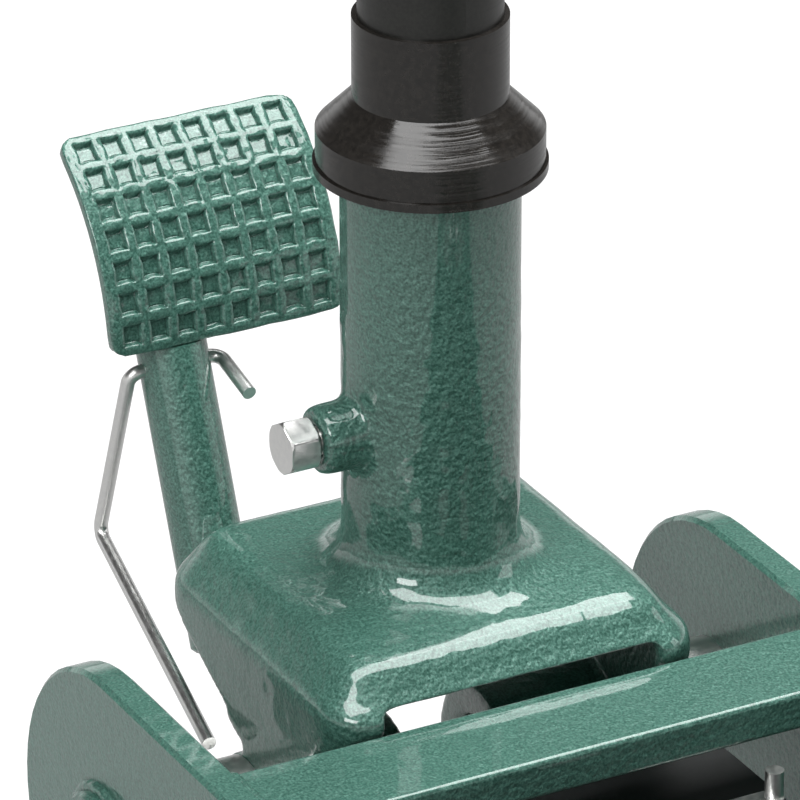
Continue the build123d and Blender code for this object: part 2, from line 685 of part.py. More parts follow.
# Lug plate that joins the pedal's arm to the back of the hood
with BuildPart() as pedal_lug:
    with BuildSketch(upright(PEDAL_ARM_Y + LUG_PLATE_T / 2)):
        with BuildLine():
            Polyline(
                (back_x + HOOD_T, skirt_z),
                (back_x + HOOD_T, skirt_z - 18),
                (back_x, PEDAL_ARM_FOOT_Z + 2),
                (back_x - 8, PEDAL_ARM_FOOT_Z + 2),
                (back_x - 18, skirt_z + 8),
                (back_x, skirt_z + 6.5),
                (back_x, skirt_z),
                close=True,
            )
        make_face()
    extrude(amount=LUG_PLATE_T)
    with BuildSketch(arm_plane.offset(-2 * PEDAL_ARM_R * 3)):
        Circle(PEDAL_ARM_R)
    extrude(amount=PEDAL_ARM_Z, mode=Mode.SUBTRACT)
finish(pedal_lug, "pedal_lug")

# Curved pedal pad with rows of square dimples
with BuildPart() as pedal_pad:
    with BuildSketch(upright(PAD_Y + PAD_WIDTH / 2)):
        with BuildLine():
            high = math.radians(PAD_HIGH)
            low = math.radians(PAD_LOW)
            front = CenterArc((pad_x, PAD_CENTRE_Z), PAD_R, PAD_LOW, PAD_HIGH - PAD_LOW)
            back = CenterArc((pad_x, PAD_CENTRE_Z), PAD_R - PAD_T, PAD_LOW, PAD_HIGH - PAD_LOW)
            Line(front @ 0, back @ 0)
            Line(front @ 1, back @ 1)
        make_face()
    extrude(amount=PAD_WIDTH)
    corners = pedal_pad.edges().filter_by(lambda e: abs(e.length - PAD_T) < 0.01)
    fillet(corners, PAD_CORNER)
    for row in range(DIMPLE_ROWS):
        turn = math.radians((PAD_LOW + PAD_HIGH) / 2) + (row - (DIMPLE_ROWS - 1) / 2) * ROW_PITCH / PAD_R
        outward = (math.cos(turn), 0, math.sin(turn))
        middle = (pad_x + PAD_R * outward[0], PAD_Y, PAD_CENTRE_Z + PAD_R * outward[2])
        with BuildSketch(Plane(origin=middle, x_dir=(0, 1, 0), z_dir=outward)):
            with GridLocations(DIMPLE_PITCH, DIMPLE_PITCH, DIMPLE_COLUMNS, 1):
                Rectangle(DIMPLE, DIMPLE)
        extrude(amount=-DIMPLE_DEPTH, mode=Mode.SUBTRACT)
finish(pedal_pad, "pedal_pad")

# Transport lock wire: through the pedal's arm, down, then forward beside the hood
with BuildPart() as lock_wire:
    near_y = PEDAL_ARM_Y - WIRE_SIDE
    far_y = PEDAL_ARM_Y + WIRE_SIDE
    with BuildLine() as wire_path:
        FilletPolyline(
            (wire_hole_x + WIRE_STUB, far_y, WIRE_Z - WIRE_STUB_FALL),
            (wire_hole_x, far_y, WIRE_Z),
            (wire_hole_x, near_y, WIRE_Z),
            (HANDLE_X - WIRE_BACK, near_y, WIRE_LOW_Z),
            (HANDLE_X - WIRE_FRONT, -WIRE_OUT, WIRE_TIP_Z),
            radius=WIRE_BEND,
        )
    with BuildSketch(Plane(origin=wire_path.line @ 0, z_dir=wire_path.line % 0)):
        Circle(WIRE_R)
    sweep()
finish(lock_wire, "lock_wire")

# Roller that pushes the pump, and its pin across the two inner lugs
with BuildPart() as pump_roller:
    with BuildSketch(upright(ROLLER_W / 2)):
        with Locations((HANDLE_X, roller_z)):
            Circle(ROLLER_R)
            Circle(ROLLER_PIN_R, mode=Mode.SUBTRACT)
    extrude(amount=ROLLER_W)
    chamfer(pump_roller.faces().filter_by(Axis.Y).edges(), 0.8)
finish(pump_roller, "pump_roller")

with BuildPart() as roller_pin:
    with BuildSketch(upright(hub_lug + GAP)):
        with Locations((HANDLE_X, roller_z)):
            Circle(ROLLER_PIN_R)
    extrude(amount=2 * hub_lug + 2 * GAP)
finish(roller_pin, "pump_roller_pin")

# Pump plunger with a flat head that follows the roller
with BuildPart() as plunger:
    head_x = HANDLE_X + ROLLER_R + GAP
    with BuildSketch(facing(head_x)):
        with Locations((0, roller_z)):
            Circle(PLUNGER_HEAD_R)
    extrude(amount=PLUNGER_HEAD_T)
    with BuildSketch(facing(head_x)):
        with Locations((0, roller_z)):
            Circle(PLUNGER_R)
    extrude(amount=PLUNGER_L)
    chamfer(plunger.faces().sort_by(Axis.X)[-1].edges(), 1.0)
finish(plunger, "pump_plunger")

# Rod of the lift cylinder and the block on its end that pushes the arm's horn
with BuildPart() as ram_rod:
    rod_start = gland_x - RAM_IN
    with BuildSketch(facing(rod_start)):
        with Locations((0, CYLINDER_Z)):
            Circle(RAM_R)
    extrude(amount=pusher_x - PUSHER_T - rod_start)
finish(ram_rod, "ram_rod")

with BuildPart() as ram_pusher:
    with BuildSketch(facing(pusher_x - PUSHER_T)):
        with Locations((0, PUSHER_LOW_Z + PUSHER_H / 2)):
            Rectangle(PUSHER_W, PUSHER_H)
    extrude(amount=PUSHER_T)
    chamfer(ram_pusher.edges().filter_by(Axis.X), 3.0)
finish(ram_pusher, "ram_pusher")

# Lifting arm: two plates, each with a long beam and a short horn below the pivot, and a web
for side, y_face in (("right", -arm_inner), ("left", ARM_HALF_W)):
    with BuildPart() as arm_plate:
        with BuildSketch(upright(y_face)):
            with Locations((arm_x, ARM_PIVOT_Z)):
                Circle(ARM_BOSS_R)
            with Locations((tip_x, SADDLE_PIN_Z)):
                Circle(ARM_TIP_R)
            make_hull()
        extrude(amount=ARM_PLATE_T)
        with BuildSketch(upright(y_face)):
            with Locations((arm_x, ARM_PIVOT_Z)):
                Circle(ARM_BOSS_R)
            with Locations((horn_x, horn_z)):
                Circle(HORN_R)
            make_hull()
        extrude(amount=ARM_PLATE_T)
        with BuildSketch(upright(y_face)):
            with Locations((arm_x, ARM_PIVOT_Z)):
                Circle(ARM_SHAFT_R + RUN)
            with Locations((tip_x, SADDLE_PIN_Z)):
                Circle(TIP_PIN_R)
            with Locations((horn_x, horn_z)):
                Circle(HORN_PIN_R)
        extrude(amount=ARM_PLATE_T, mode=Mode.SUBTRACT)
    finish(arm_plate, f"arm_plate_{side}")

with BuildPart() as arm_web:
    with BuildSketch(upright(arm_inner)):
        with Locations(((arm_x + tip_x) / 2, (ARM_PIVOT_Z + SADDLE_PIN_Z) / 2 + WEB_RAISE)):
            Rectangle(WEB_L, WEB_T, rotation=-arm_fall)
    extrude(amount=2 * arm_inner)
finish(arm_web, "arm_web")

with BuildPart() as horn_roller:
    with BuildSketch(upright(HORN_ROLLER_W / 2)):
        with Locations((horn_x, horn_z)):
            Circle(HORN_ROLLER_R)
            Circle(HORN_PIN_R, mode=Mode.SUBTRACT)
    extrude(amount=HORN_ROLLER_W)
    chamfer(horn_roller.faces().filter_by(Axis.Y).edges(), 1.0)
finish(horn_roller, "horn_roller")

# Pins across the arm's two plates, at the horn and at the saddle
with BuildPart() as arm_pins:
    with BuildSketch(upright(ARM_HALF_W)):
        with Locations((horn_x, horn_z)):
            Circle(HORN_PIN_R)
        with Locations((tip_x, SADDLE_PIN_Z)):
            Circle(TIP_PIN_R)
    extrude(amount=2 * ARM_HALF_W)
    for y_face in (ARM_HALF_W + CAP_T / 2, -ARM_HALF_W):
        with BuildSketch(upright(y_face)):
            with Locations((tip_x, SADDLE_PIN_Z)):
                Circle(TIP_PIN_R + 4)
        extrude(amount=CAP_T / 2)
finish(arm_pins, "arm_pins")

# Levelling links beside the arm's plates, parallel to the arm
link_x = arm_x + LINK_AHEAD
link_z = ARM_PIVOT_Z - LINK_BELOW
level_x = tip_x + LINK_AHEAD
level_z = SADDLE_PIN_Z - LINK_BELOW
for side, y_face in (("right", -LINK_IN), ("left", link_out)):
    with BuildPart() as link_bar:
        with BuildSketch(upright(y_face)):
            with Locations(((link_x + level_x) / 2, (link_z + level_z) / 2)):
                Rectangle(ARM_LENGTH, LINK_H, rotation=-arm_fall)
            with Locations((link_x, link_z), (level_x, level_z)):
                Circle(LINK_EYE_R)
                Circle(LINK_PIN_R + RUN, mode=Mode.SUBTRACT)
        extrude(amount=LINK_T)
    finish(link_bar, f"levelling_link_{side}")

# Carrier between the arm's plates that keeps the saddle level
with BuildPart() as carrier:
    with BuildSketch(upright(CARRIER_HALF_W)):
        with Locations((tip_x, SADDLE_PIN_Z), (level_x, level_z)):
            Circle(CARRIER_EYE_R)
        make_hull()
    extrude(amount=2 * CARRIER_HALF_W)
    with BuildSketch(upright(CARRIER_HALF_W)):
        neck_z = CARRIER_TOP_Z - CARRIER_TOP_T
        with Locations((tip_x, (SADDLE_PIN_Z + neck_z) / 2)):
            Rectangle(2 * CARRIER_EYE_R, neck_z - SADDLE_PIN_Z)
        with Locations((saddle_x, CARRIER_TOP_Z - CARRIER_TOP_T / 2)):
            Rectangle(CARRIER_TOP_L, CARRIER_TOP_T)
    extrude(amount=2 * CARRIER_HALF_W)
    with BuildSketch(upright(CARRIER_HALF_W)):
        with Locations((tip_x, SADDLE_PIN_Z)):
            Circle(TIP_PIN_R + RUN)
        with Locations((level_x, level_z)):
            Circle(LINK_PIN_R)
    extrude(amount=2 * CARRIER_HALF_W, mode=Mode.SUBTRACT)
    with BuildSketch(Plane.XY.offset(CARRIER_TOP_Z)):
        with Locations((saddle_x, 0)):
            Circle(SADDLE_POST_R + RUN)
    extrude(amount=-CARRIER_TOP_T + 1, mode=Mode.SUBTRACT)
finish(carrier, "saddle_carrier")

with BuildPart() as level_pin:
    with BuildSketch(upright(link_out + 2)):
        with Locations((level_x, level_z)):
            Circle(LINK_PIN_R)
    extrude(amount=2 * link_out + 4)
    for y_face in (link_out + GAP + CAP_T / 2, -link_out - GAP):
        with BuildSketch(upright(y_face)):
            with Locations((level_x, level_z)):
                Circle(LINK_PIN_R + 3)
        extrude(amount=CAP_T / 2)
finish(level_pin, "carrier_level_pin")

# Round saddle with a dished face and square teeth round its rim
with BuildPart() as saddle:
    with BuildSketch(Plane.XY.offset(CARRIER_TOP_Z + GAP)):
        with Locations((saddle_x, 0)):
            Circle(SADDLE_R)
    extrude(amount=SADDLE_H)
    chamfer(saddle.faces().sort_by(Axis.Z)[0].edges(), 4.0)
    with BuildSketch(Plane.XY.offset(CARRIER_TOP_Z + GAP + SADDLE_H)):
        with Locations((saddle_x, 0)):
            Circle(SADDLE_DISH_R)
    extrude(amount=-SADDLE_DISH, mode=Mode.SUBTRACT)
    with BuildSketch(Plane.XY.offset(CARRIER_TOP_Z + GAP + SADDLE_H)):
        with Locations((saddle_x, 0)):
            with PolarLocations((SADDLE_R + SADDLE_DISH_R) / 2, SADDLE_TEETH):
                Rectangle(2 * (SADDLE_R - SADDLE_DISH_R), SADDLE_R - SADDLE_DISH_R)
    extrude(amount=-SADDLE_DISH / 2, mode=Mode.SUBTRACT)
    with BuildSketch(Plane.XY.offset(CARRIER_TOP_Z + GAP)):
        with Locations((saddle_x, 0)):
            Circle(SADDLE_POST_R)
    extrude(amount=-SADDLE_POST_L)
finish(saddle, "saddle")

# Handle tube, plain at its foot and cut round the grip bar at its top
with BuildPart() as handle_tube:
    with BuildSketch(Plane.XY.offset(HANDLE_FOOT_Z)):
        with Locations((HANDLE_X, 0)):
            Circle(HANDLE_R)
            Circle(HANDLE_R - HANDLE_WALL, mode=Mode.SUBTRACT)
    extrude(amount=HANDLE_TOP_Z - HANDLE_FOOT_Z)
    with BuildSketch(Plane.XZ.offset(-2 * HANDLE_R)):
        with Locations((HANDLE_X, HANDLE_TOP_Z)):
            Circle(GRIP_BAR_R)
    extrude(amount=4 * HANDLE_R, mode=Mode.SUBTRACT)
    with BuildSketch(Plane.XY.offset(HANDLE_TOP_Z)):
        with Locations((HANDLE_X, 0)):
            Circle(2 * HANDLE_R)
    extrude(amount=-GRIP_BAR_R / 2, mode=Mode.SUBTRACT)
finish(handle_tube, "handle_tube")

# Collar that slips over the socket's top: thin lip, straight wall, cone and neck
with BuildPart() as collar:
    with BuildSketch(upright(0)):
        wall_z = COLLAR_FOOT_Z + COLLAR_LIP_H
        cone_z = SOCKET_TOP_Z + GAP
        neck_z = cone_z + COLLAR_CONE_H
        bore_z = SOCKET_TOP_Z + 2
        top_z = neck_z + COLLAR_NECK_H
        with BuildLine():
            Polyline(
                (HANDLE_X + SOCKET_R + RUN, COLLAR_FOOT_Z),
                (HANDLE_X + COLLAR_LIP_R, COLLAR_FOOT_Z),
                (HANDLE_X + COLLAR_LIP_R, wall_z),
                (HANDLE_X + COLLAR_R, wall_z),
                (HANDLE_X + COLLAR_R, cone_z),
                (HANDLE_X + COLLAR_NECK_R, neck_z),
                (HANDLE_X + COLLAR_NECK_R, top_z),
                (HANDLE_X + HANDLE_R, top_z),
                (HANDLE_X + HANDLE_R, bore_z),
                (HANDLE_X + SOCKET_R + RUN, bore_z),
                close=True,
            )
        make_face()
    revolve(axis=Axis((HANDLE_X, 0, 0), (0, 0, 1)))
finish(collar, "socket_collar")

# Grip bar across the top of the handle with two ribbed sleeves
with BuildPart() as grip_bar:
    with BuildSketch(upright(GRIP_SPAN / 2)):
        with Locations((HANDLE_X, HANDLE_TOP_Z)):
            Circle(GRIP_BAR_R)
    extrude(amount=GRIP_SPAN)
    chamfer(grip_bar.faces().filter_by(Axis.Y).edges(), 1.5)
finish(grip_bar, "grip_bar")

with BuildPart() as grips:
    rib_pitch = GRIP_LENGTH / GRIP_RIBS
    for y_face in (GRIP_SPAN / 2 - 2, GRIP_LENGTH - GRIP_SPAN / 2 + 2):
        with BuildSketch(upright(y_face)):
            with Locations((HANDLE_X, HANDLE_TOP_Z)):
                Circle(GRIP_R)
                Circle(GRIP_BAR_R, mode=Mode.SUBTRACT)
        extrude(amount=GRIP_LENGTH)
        for rib in range(GRIP_RIBS):
            with BuildSketch(upright(y_face - rib * rib_pitch - rib_pitch / 4)):
                with Locations((HANDLE_X, HANDLE_TOP_Z)):
                    Circle(GRIP_R + GRIP_RIB)
                    Circle(GRIP_R, mode=Mode.SUBTRACT)
            extrude(amount=rib_pitch / 2)
finish(grips, "grip_sleeves")

# Front wheels outside the plates
for side, y_face in (("right", -plate_out - WHEEL_STAND), ("left", plate_out + WHEEL_STAND + WHEEL_W)):
    with BuildPart() as wheel:
        with BuildSketch(upright(y_face)):
            with Locations((front_axle_x, WHEEL_R)):
                Circle(WHEEL_R)
        extrude(amount=WHEEL_W)
        chamfer(wheel.edges().filter_by(GeomType.CIRCLE), 3.0)
        outward_y = plate_out + WHEEL_STAND + WHEEL_W
        cut_y = outward_y if side == "left" else -outward_y + 4
        with BuildSketch(upright(cut_y)):
            with Locations((front_axle_x, WHEEL_R)):
                Circle(WHEEL_R - 12)
                Circle(WHEEL_HUB_R, mode=Mode.SUBTRACT)
        extrude(amount=4, mode=Mode.SUBTRACT)
        with BuildSketch(upright(y_face)):
            with Locations((front_axle_x, WHEEL_R)):
                Circle(FRONT_AXLE_R + RUN)
        extrude(amount=WHEEL_W, mode=Mode.SUBTRACT)
    finish(wheel, f"front_wheel_{side}")

# Casters: fork with stem and nut, axle and wheel
caster_x = HANDLE_X + CASTER_REACH
wheel_x = caster_x - CASTER_TRAIL
for side, caster_y in (("right", -CASTER_OUT), ("left", CASTER_OUT)):
    with BuildPart() as fork:
        leg_out = FORK_GAP / 2 + FORK_T
        with BuildSketch(Plane.XY.offset(FORK_TOP_Z - FORK_T)):
            with Locations((caster_x, caster_y)):
                Rectangle(FORK_L, 2 * leg_out)
        extrude(amount=FORK_T)
        with BuildSketch(Plane.XY.offset(FORK_TOP_Z)):
            with Locations((caster_x, caster_y)):
                Circle(FORK_L / 2)
        extrude(amount=CASTER_PLATE_Z - FORK_TOP_Z - GAP)
        with BuildSketch(Plane.XY.offset(FORK_TOP_Z)):
            with Locations((caster_x, caster_y)):
                Circle(STEM_R)
        nut_z = CASTER_PLATE_Z + CASTER_PLATE_T + GAP
        extrude(amount=nut_z + STEM_NUT_H + 3 - FORK_TOP_Z)
        with BuildSketch(Plane.XY.offset(nut_z)):
            with Locations((caster_x, caster_y)):
                RegularPolygon(STEM_NUT_R, 6)
        extrude(amount=STEM_NUT_H)
        for leg_y in (caster_y + leg_out, caster_y - FORK_GAP / 2):
            with BuildSketch(upright(leg_y)):
                with BuildLine():
                    Polyline(
                        (caster_x - FORK_L / 2, FORK_TOP_Z),
                        (caster_x + FORK_L / 2, FORK_TOP_Z),
                        (caster_x + FORK_L / 2, FORK_TOP_Z - 8),
                        (wheel_x + FORK_EYE_R * 0.8, CASTER_R - FORK_EYE_R * 0.6),
                        (wheel_x - FORK_EYE_R, CASTER_R),
                        close=True,
                    )
                make_face()
                with Locations((wheel_x, CASTER_R)):
                    Circle(FORK_EYE_R)
                    Circle(CASTER_AXLE_R, mode=Mode.SUBTRACT)
            extrude(amount=FORK_T)
    finish(fork, f"caster_fork_{side}")

    with BuildPart() as caster_axle:
        with BuildSketch(upright(caster_y + leg_out + 4)):
            with Locations((wheel_x, CASTER_R)):
                Circle(CASTER_AXLE_R)
        extrude(amount=2 * leg_out + 8)
        for head_y in (caster_y + leg_out + 4, caster_y - leg_out):
            with BuildSketch(upright(head_y)):
                with Locations((wheel_x, CASTER_R)):
                    RegularPolygon(CASTER_AXLE_R + 4, 6)
            extrude(amount=4)
    finish(caster_axle, f"caster_axle_{side}")

    with BuildPart() as caster_wheel:
        with BuildSketch(upright(caster_y + CASTER_W / 2)):
            with Locations((wheel_x, CASTER_R)):
                Circle(CASTER_R)
        extrude(amount=CASTER_W)
        chamfer(caster_wheel.edges().filter_by(GeomType.CIRCLE), 2.0)
        with BuildSketch(upright(caster_y + CASTER_W / 2)):
            with Locations((wheel_x, CASTER_R)):
                Circle(CASTER_AXLE_R + RUN)
        extrude(amount=CASTER_W, mode=Mode.SUBTRACT)
    finish(caster_wheel, f"caster_wheel_{side}")
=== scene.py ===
# %% [markdown]
# ## A long floor jack, seen from behind its handle
# The frame holds every solid of the jack in metres: plates, yoke, socket, pedal, pump, arm and
# wheels. This lesson gives each one its finish, adds the small things that solids leave out,
# such as weld beads and threads, and sets up the camera and the studio.

# %% Load the frame
import json
import math

import bpy
from mathutils import Matrix, Vector


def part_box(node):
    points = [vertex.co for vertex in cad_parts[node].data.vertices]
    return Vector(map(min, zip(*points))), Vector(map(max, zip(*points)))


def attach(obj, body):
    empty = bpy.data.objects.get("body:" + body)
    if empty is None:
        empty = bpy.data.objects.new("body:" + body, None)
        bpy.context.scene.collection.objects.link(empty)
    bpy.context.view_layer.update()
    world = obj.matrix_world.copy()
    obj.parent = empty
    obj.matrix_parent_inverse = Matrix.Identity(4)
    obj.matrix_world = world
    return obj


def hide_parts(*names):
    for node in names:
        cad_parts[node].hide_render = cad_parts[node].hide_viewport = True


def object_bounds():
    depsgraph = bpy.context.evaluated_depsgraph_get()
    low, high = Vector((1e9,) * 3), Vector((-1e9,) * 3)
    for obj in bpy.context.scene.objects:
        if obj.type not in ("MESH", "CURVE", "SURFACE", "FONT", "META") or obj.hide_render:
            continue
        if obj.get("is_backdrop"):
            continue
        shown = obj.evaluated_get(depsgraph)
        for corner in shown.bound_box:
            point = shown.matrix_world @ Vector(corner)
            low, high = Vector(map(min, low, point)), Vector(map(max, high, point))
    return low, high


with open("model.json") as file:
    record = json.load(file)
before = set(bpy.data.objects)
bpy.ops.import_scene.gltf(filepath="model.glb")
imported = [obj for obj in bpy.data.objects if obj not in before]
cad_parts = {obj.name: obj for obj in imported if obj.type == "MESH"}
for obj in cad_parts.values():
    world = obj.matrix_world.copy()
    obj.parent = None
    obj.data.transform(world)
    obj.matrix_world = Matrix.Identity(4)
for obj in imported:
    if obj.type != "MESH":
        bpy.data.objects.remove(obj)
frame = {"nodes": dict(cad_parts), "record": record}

scene = bpy.context.scene
cad_low, cad_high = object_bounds()
print("the jack is", [round(v, 3) for v in (cad_high - cad_low)], "metres long, wide and high")

# %% [markdown]
# ## Where things are
# Nearly every place below is counted from the middle of the handle's socket, so that point is
# read from the socket's own box, and lengths are written in millimetres with a small helper.

# %% Reference points
socket_low, socket_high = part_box("handle_socket")
HANDLE_X = (socket_low.x + socket_high.x) / 2
MM = 0.001


def at(x, y, z):
    """A point counted in millimetres from the socket's axis, with z from the floor."""
    return Vector((HANDLE_X + x * MM, y * MM, z * MM))


print("the socket's axis stands at x =", round(HANDLE_X, 4))

# %% [markdown]
# ## Camera
# The photograph is a close view from far off with a long lens: it looks down at about 27 degrees
# from the front right. The camera is placed along that line of sight, then turned a little so
# that the hood falls at the right place in the square picture.

# %% Camera
RIGHT = Vector((0.4741, 0.8805, 0.0)).normalized()
TOWARDS = Vector((0.7844, -0.4223, 0.4539)).normalized()
UP = TOWARDS.cross(RIGHT).normalized()
PICTURE_PX = 800
FOCAL_PX = 7100
HOOD_PX = (430.5, 525)
SENSOR = 36.0
DISTANCE = 2.395
hood = at(0, 0, 187)
eye = hood + TOWARDS * DISTANCE
aim = (-TOWARDS + RIGHT * ((PICTURE_PX / 2 - HOOD_PX[0]) / FOCAL_PX)
       + UP * ((HOOD_PX[1] - PICTURE_PX / 2) / FOCAL_PX))
lens = bpy.data.cameras.new("camera")
lens.sensor_width = SENSOR
lens.lens = SENSOR * FOCAL_PX / PICTURE_PX
lens.clip_start = 0.1
lens.clip_end = 50.0
camera = bpy.data.objects.new("camera", lens)
scene.collection.objects.link(camera)
back = (-aim).normalized()
side = (RIGHT - back * RIGHT.dot(back)).normalized()
rise = back.cross(side)
camera.matrix_world = Matrix.Translation(eye) @ Matrix((side, rise, back)).transposed().to_4x4()
scene.camera = camera
scene.view_settings.view_transform = "Standard"
print("lens", round(lens.lens), "mm at", [round(v, 2) for v in eye])

# %% [markdown]
# ## Studio
# The photograph has a plain white ground and large soft lamps, whose edges show as crisp patches
# in the enamel. One could light the jack with a picture of a studio, but plain rectangles are
# easy to place: each bright patch is traced back from the surface to the spot overhead where its
# lamp has to hang. The floor and the world show white to the camera and as a mirror image, so
# the ground looks plain, while the floor still takes a share of the jack's shadow.

# %% Rays that see the background


def seen_rays(nodes, links):
    """One where a ray comes from the camera, a glossy surface or glass, otherwise zero."""
    path = nodes.new("ShaderNodeLightPath")
    total = path.outputs["Is Camera Ray"]
    for kind in ("Is Glossy Ray", "Is Transmission Ray"):
        add = nodes.new("ShaderNodeMath")
        add.operation = "MAXIMUM"
        links.new(total, add.inputs[0])
        links.new(path.outputs[kind], add.inputs[1])
        total = add.outputs[0]
    return total


# %% [markdown]
# The floor's material is a mix. Seen by the camera it is mostly plain light, with a share left for
# the real, shaded floor, where the shadow lies. In reflections the same light is much weaker,
# because the real enamel shows the ground as a dim grey.

# %% Floor
WHITE_SHARE, MIRRORED = 0.72, 0.27
GLOW, GREY = 1.15, 0.6

bpy.ops.object.select_all(action="DESELECT")
bpy.ops.mesh.primitive_plane_add(size=12, location=(0, 0, 0))
floor = bpy.context.object
floor.name = "studio_floor"
floor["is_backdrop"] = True
pale = bpy.data.materials.new("pale_floor")
pale.use_nodes = True
pale_nodes = pale.node_tree.nodes
pale_links = pale.node_tree.links
pale_shader = pale_nodes["Principled BSDF"]
pale_shader.inputs["Base Color"].default_value = (GREY, GREY, GREY, 1)
pale_shader.inputs["Roughness"].default_value = 0.9
pale_glow = pale_nodes.new("ShaderNodeEmission")
pale_glow.inputs["Strength"].default_value = GLOW
pale_mix = pale_nodes.new("ShaderNodeMixShader")
pale_share = pale_nodes.new("ShaderNodeMath")
pale_share.operation = "MULTIPLY"
pale_share.inputs[1].default_value = WHITE_SHARE
pale_ray = pale_nodes.new("ShaderNodeLightPath")
pale_dim = pale_nodes.new("ShaderNodeMapRange")
pale_dim.inputs["To Min"].default_value = 1.0
pale_dim.inputs["To Max"].default_value = MIRRORED
pale_links.new(pale_ray.outputs["Is Glossy Ray"], pale_dim.inputs["Value"])
pale_links.new(pale_dim.outputs["Result"], pale_glow.inputs["Color"])
pale_links.new(seen_rays(pale_nodes, pale_links), pale_share.inputs[0])
pale_links.new(pale_share.outputs[0], pale_mix.inputs["Fac"])
pale_links.new(pale_shader.outputs[0], pale_mix.inputs[1])
pale_links.new(pale_glow.outputs[0], pale_mix.inputs[2])
pale_links.new(pale_mix.outputs[0], pale_nodes["Material Output"].inputs["Surface"])
floor.data.materials.append(pale)
print("the floor shows", WHITE_SHARE, "white to the camera")

# %% [markdown]
# The world lights the jack a little with a cool grey. The camera sees it plain white. A mirror
# image of it is white near the horizon and dark higher up, as in a room with pale walls and a dark
# ceiling, so the hood's flat top stays deep green.

# %% World: white behind the jack, and dark above it in reflections
SKY_LIGHT = 0.16
WALLS_TO, CEILING_FROM, CEILING = 0.05, 0.30, 0.06
world = bpy.data.worlds.new("studio")
scene.world = world
world.use_nodes = True
world_nodes = world.node_tree.nodes
world_links = world.node_tree.links
sky = world_nodes["Background"]
sky.inputs["Color"].default_value = (0.9, 0.93, 0.95, 1)
sky.inputs["Strength"].default_value = SKY_LIGHT
white = world_nodes.new("ShaderNodeBackground")
white.inputs["Strength"].default_value = 1.0
ray = world_nodes.new("ShaderNodeTexCoord")
height = world_nodes.new("ShaderNodeSeparateXYZ")
fade = world_nodes.new("ShaderNodeMapRange")
fade.interpolation_type = "SMOOTHSTEP"
fade.inputs["From Min"].default_value = WALLS_TO
fade.inputs["From Max"].default_value = CEILING_FROM
fade.inputs["To Min"].default_value = 1.0
fade.inputs["To Max"].default_value = CEILING
world_links.new(ray.outputs["Generated"], height.inputs[0])
world_links.new(height.outputs["Z"], fade.inputs["Value"])
world_path = world_nodes.new("ShaderNodeLightPath")
plain = world_nodes.new("ShaderNodeMath")
plain.operation = "MAXIMUM"
world_links.new(fade.outputs["Result"], plain.inputs[0])
world_links.new(world_path.outputs["Is Camera Ray"], plain.inputs[1])
world_links.new(plain.outputs[0], white.inputs["Color"])
world_mix = world_nodes.new("ShaderNodeMixShader")
world_links.new(seen_rays(world_nodes, world_links), world_mix.inputs["Fac"])
world_links.new(sky.outputs[0], world_mix.inputs[1])
world_links.new(white.outputs[0], world_mix.inputs[2])
world_links.new(world_mix.outputs[0], world_nodes["World Output"].inputs["Surface"])
print("the world is white near the horizon")

# %% [markdown]
# An area lamp is a glowing rectangle. Its local X and Y sides have their own sizes, so it matters
# which of the two leans towards the sky when the lamp is turned to its target.

# %% One lamp


def lamp(name, place, target, width, height, watts, upright="Y"):
    """A soft lamp facing a target; its side named by upright leans towards the sky."""
    light = bpy.data.lights.new(name, "AREA")
    light.shape = "RECTANGLE"
    light.size = width
    light.size_y = height
    light.energy = watts
    obj = bpy.data.objects.new(name, light)
    scene.collection.objects.link(obj)
    obj.location = place
    facing = Vector(target) - Vector(place)
    obj.rotation_euler = facing.to_track_quat("-Z", upright).to_euler()
    return obj


# %% [markdown]
# Two lamps hang level over the jack and give the bright bands on the hood's lip and the collar.
# A third only fills the shadows, so it is kept out of reflections. The other two stand to the
# right and in front.

# %% Five lamps
heart = at(0, 0, 200)
ABOVE, BACK = Vector((0.3, -0.1, 0)), Vector((-0.7, 0.98, 0))
HANG = Vector((0, 0, 2.05))
lamp("lamp_above", heart + ABOVE + HANG, heart + Vector((0, -0.1, 0)), 1.0, 2.7, 58, upright="X")
lamp("lamp_back", heart + BACK + HANG, heart + BACK, 1.1, 0.9, 22, upright="X")
lamp("lamp_right", heart + Vector((0.9, 2.2, 1.0)), heart, 0.8, 1.2, 6)
lamp("lamp_front", heart + Vector((1.6, -2.4, 1.9)), heart, 1.6, 1.0, 48)
fill = lamp("lamp_fill", heart + Vector((-0.3, 0.6, 2.6)), heart, 1.6, 1.6, 70)
fill.visible_glossy = False
print("five soft lamps round", [round(v, 2) for v in heart])

# %% [markdown]
# ## Shared effects
# Enamel, rubber and zinc all need a little unevenness. One group gives a fine speckle between
# two colours, one gives a height for bumps out of two sizes of noise, and one gives the fine
# rings that turning leaves on round pieces. All read Object coordinates, so they stay on the
# solids when these move.

# %% Helpers for node groups


def new_group(name, sockets_in, sockets_out):
    """An empty shader group with named sockets; returns the group, its input and its output."""
    group = bpy.data.node_groups.new(name, "ShaderNodeTree")
    for label, kind, value in sockets_in:
        socket = group.interface.new_socket(label, in_out="INPUT", socket_type=kind)
        socket.default_value = value
    for label, kind in sockets_out:
        group.interface.new_socket(label, in_out="OUTPUT", socket_type=kind)
    return group, group.nodes.new("NodeGroupInput"), group.nodes.new("NodeGroupOutput")


def noise(group, scale, detail, rough=0.5):
    """A noise node on Object coordinates, with its size set or linked later."""
    node = group.nodes.new("ShaderNodeTexNoise")
    coords = group.nodes.new("ShaderNodeTexCoord")
    group.links.new(coords.outputs["Object"], node.inputs["Vector"])
    node.inputs["Scale"].default_value = scale
    node.inputs["Detail"].default_value = detail
    node.inputs["Roughness"].default_value = rough
    return node


# %% [markdown]
# The first group mixes two colours by a fine noise whose range is stretched, so that the flakes
# of a hammer-tone paint stand out from the ground. It also gives the mask itself, for gloss.

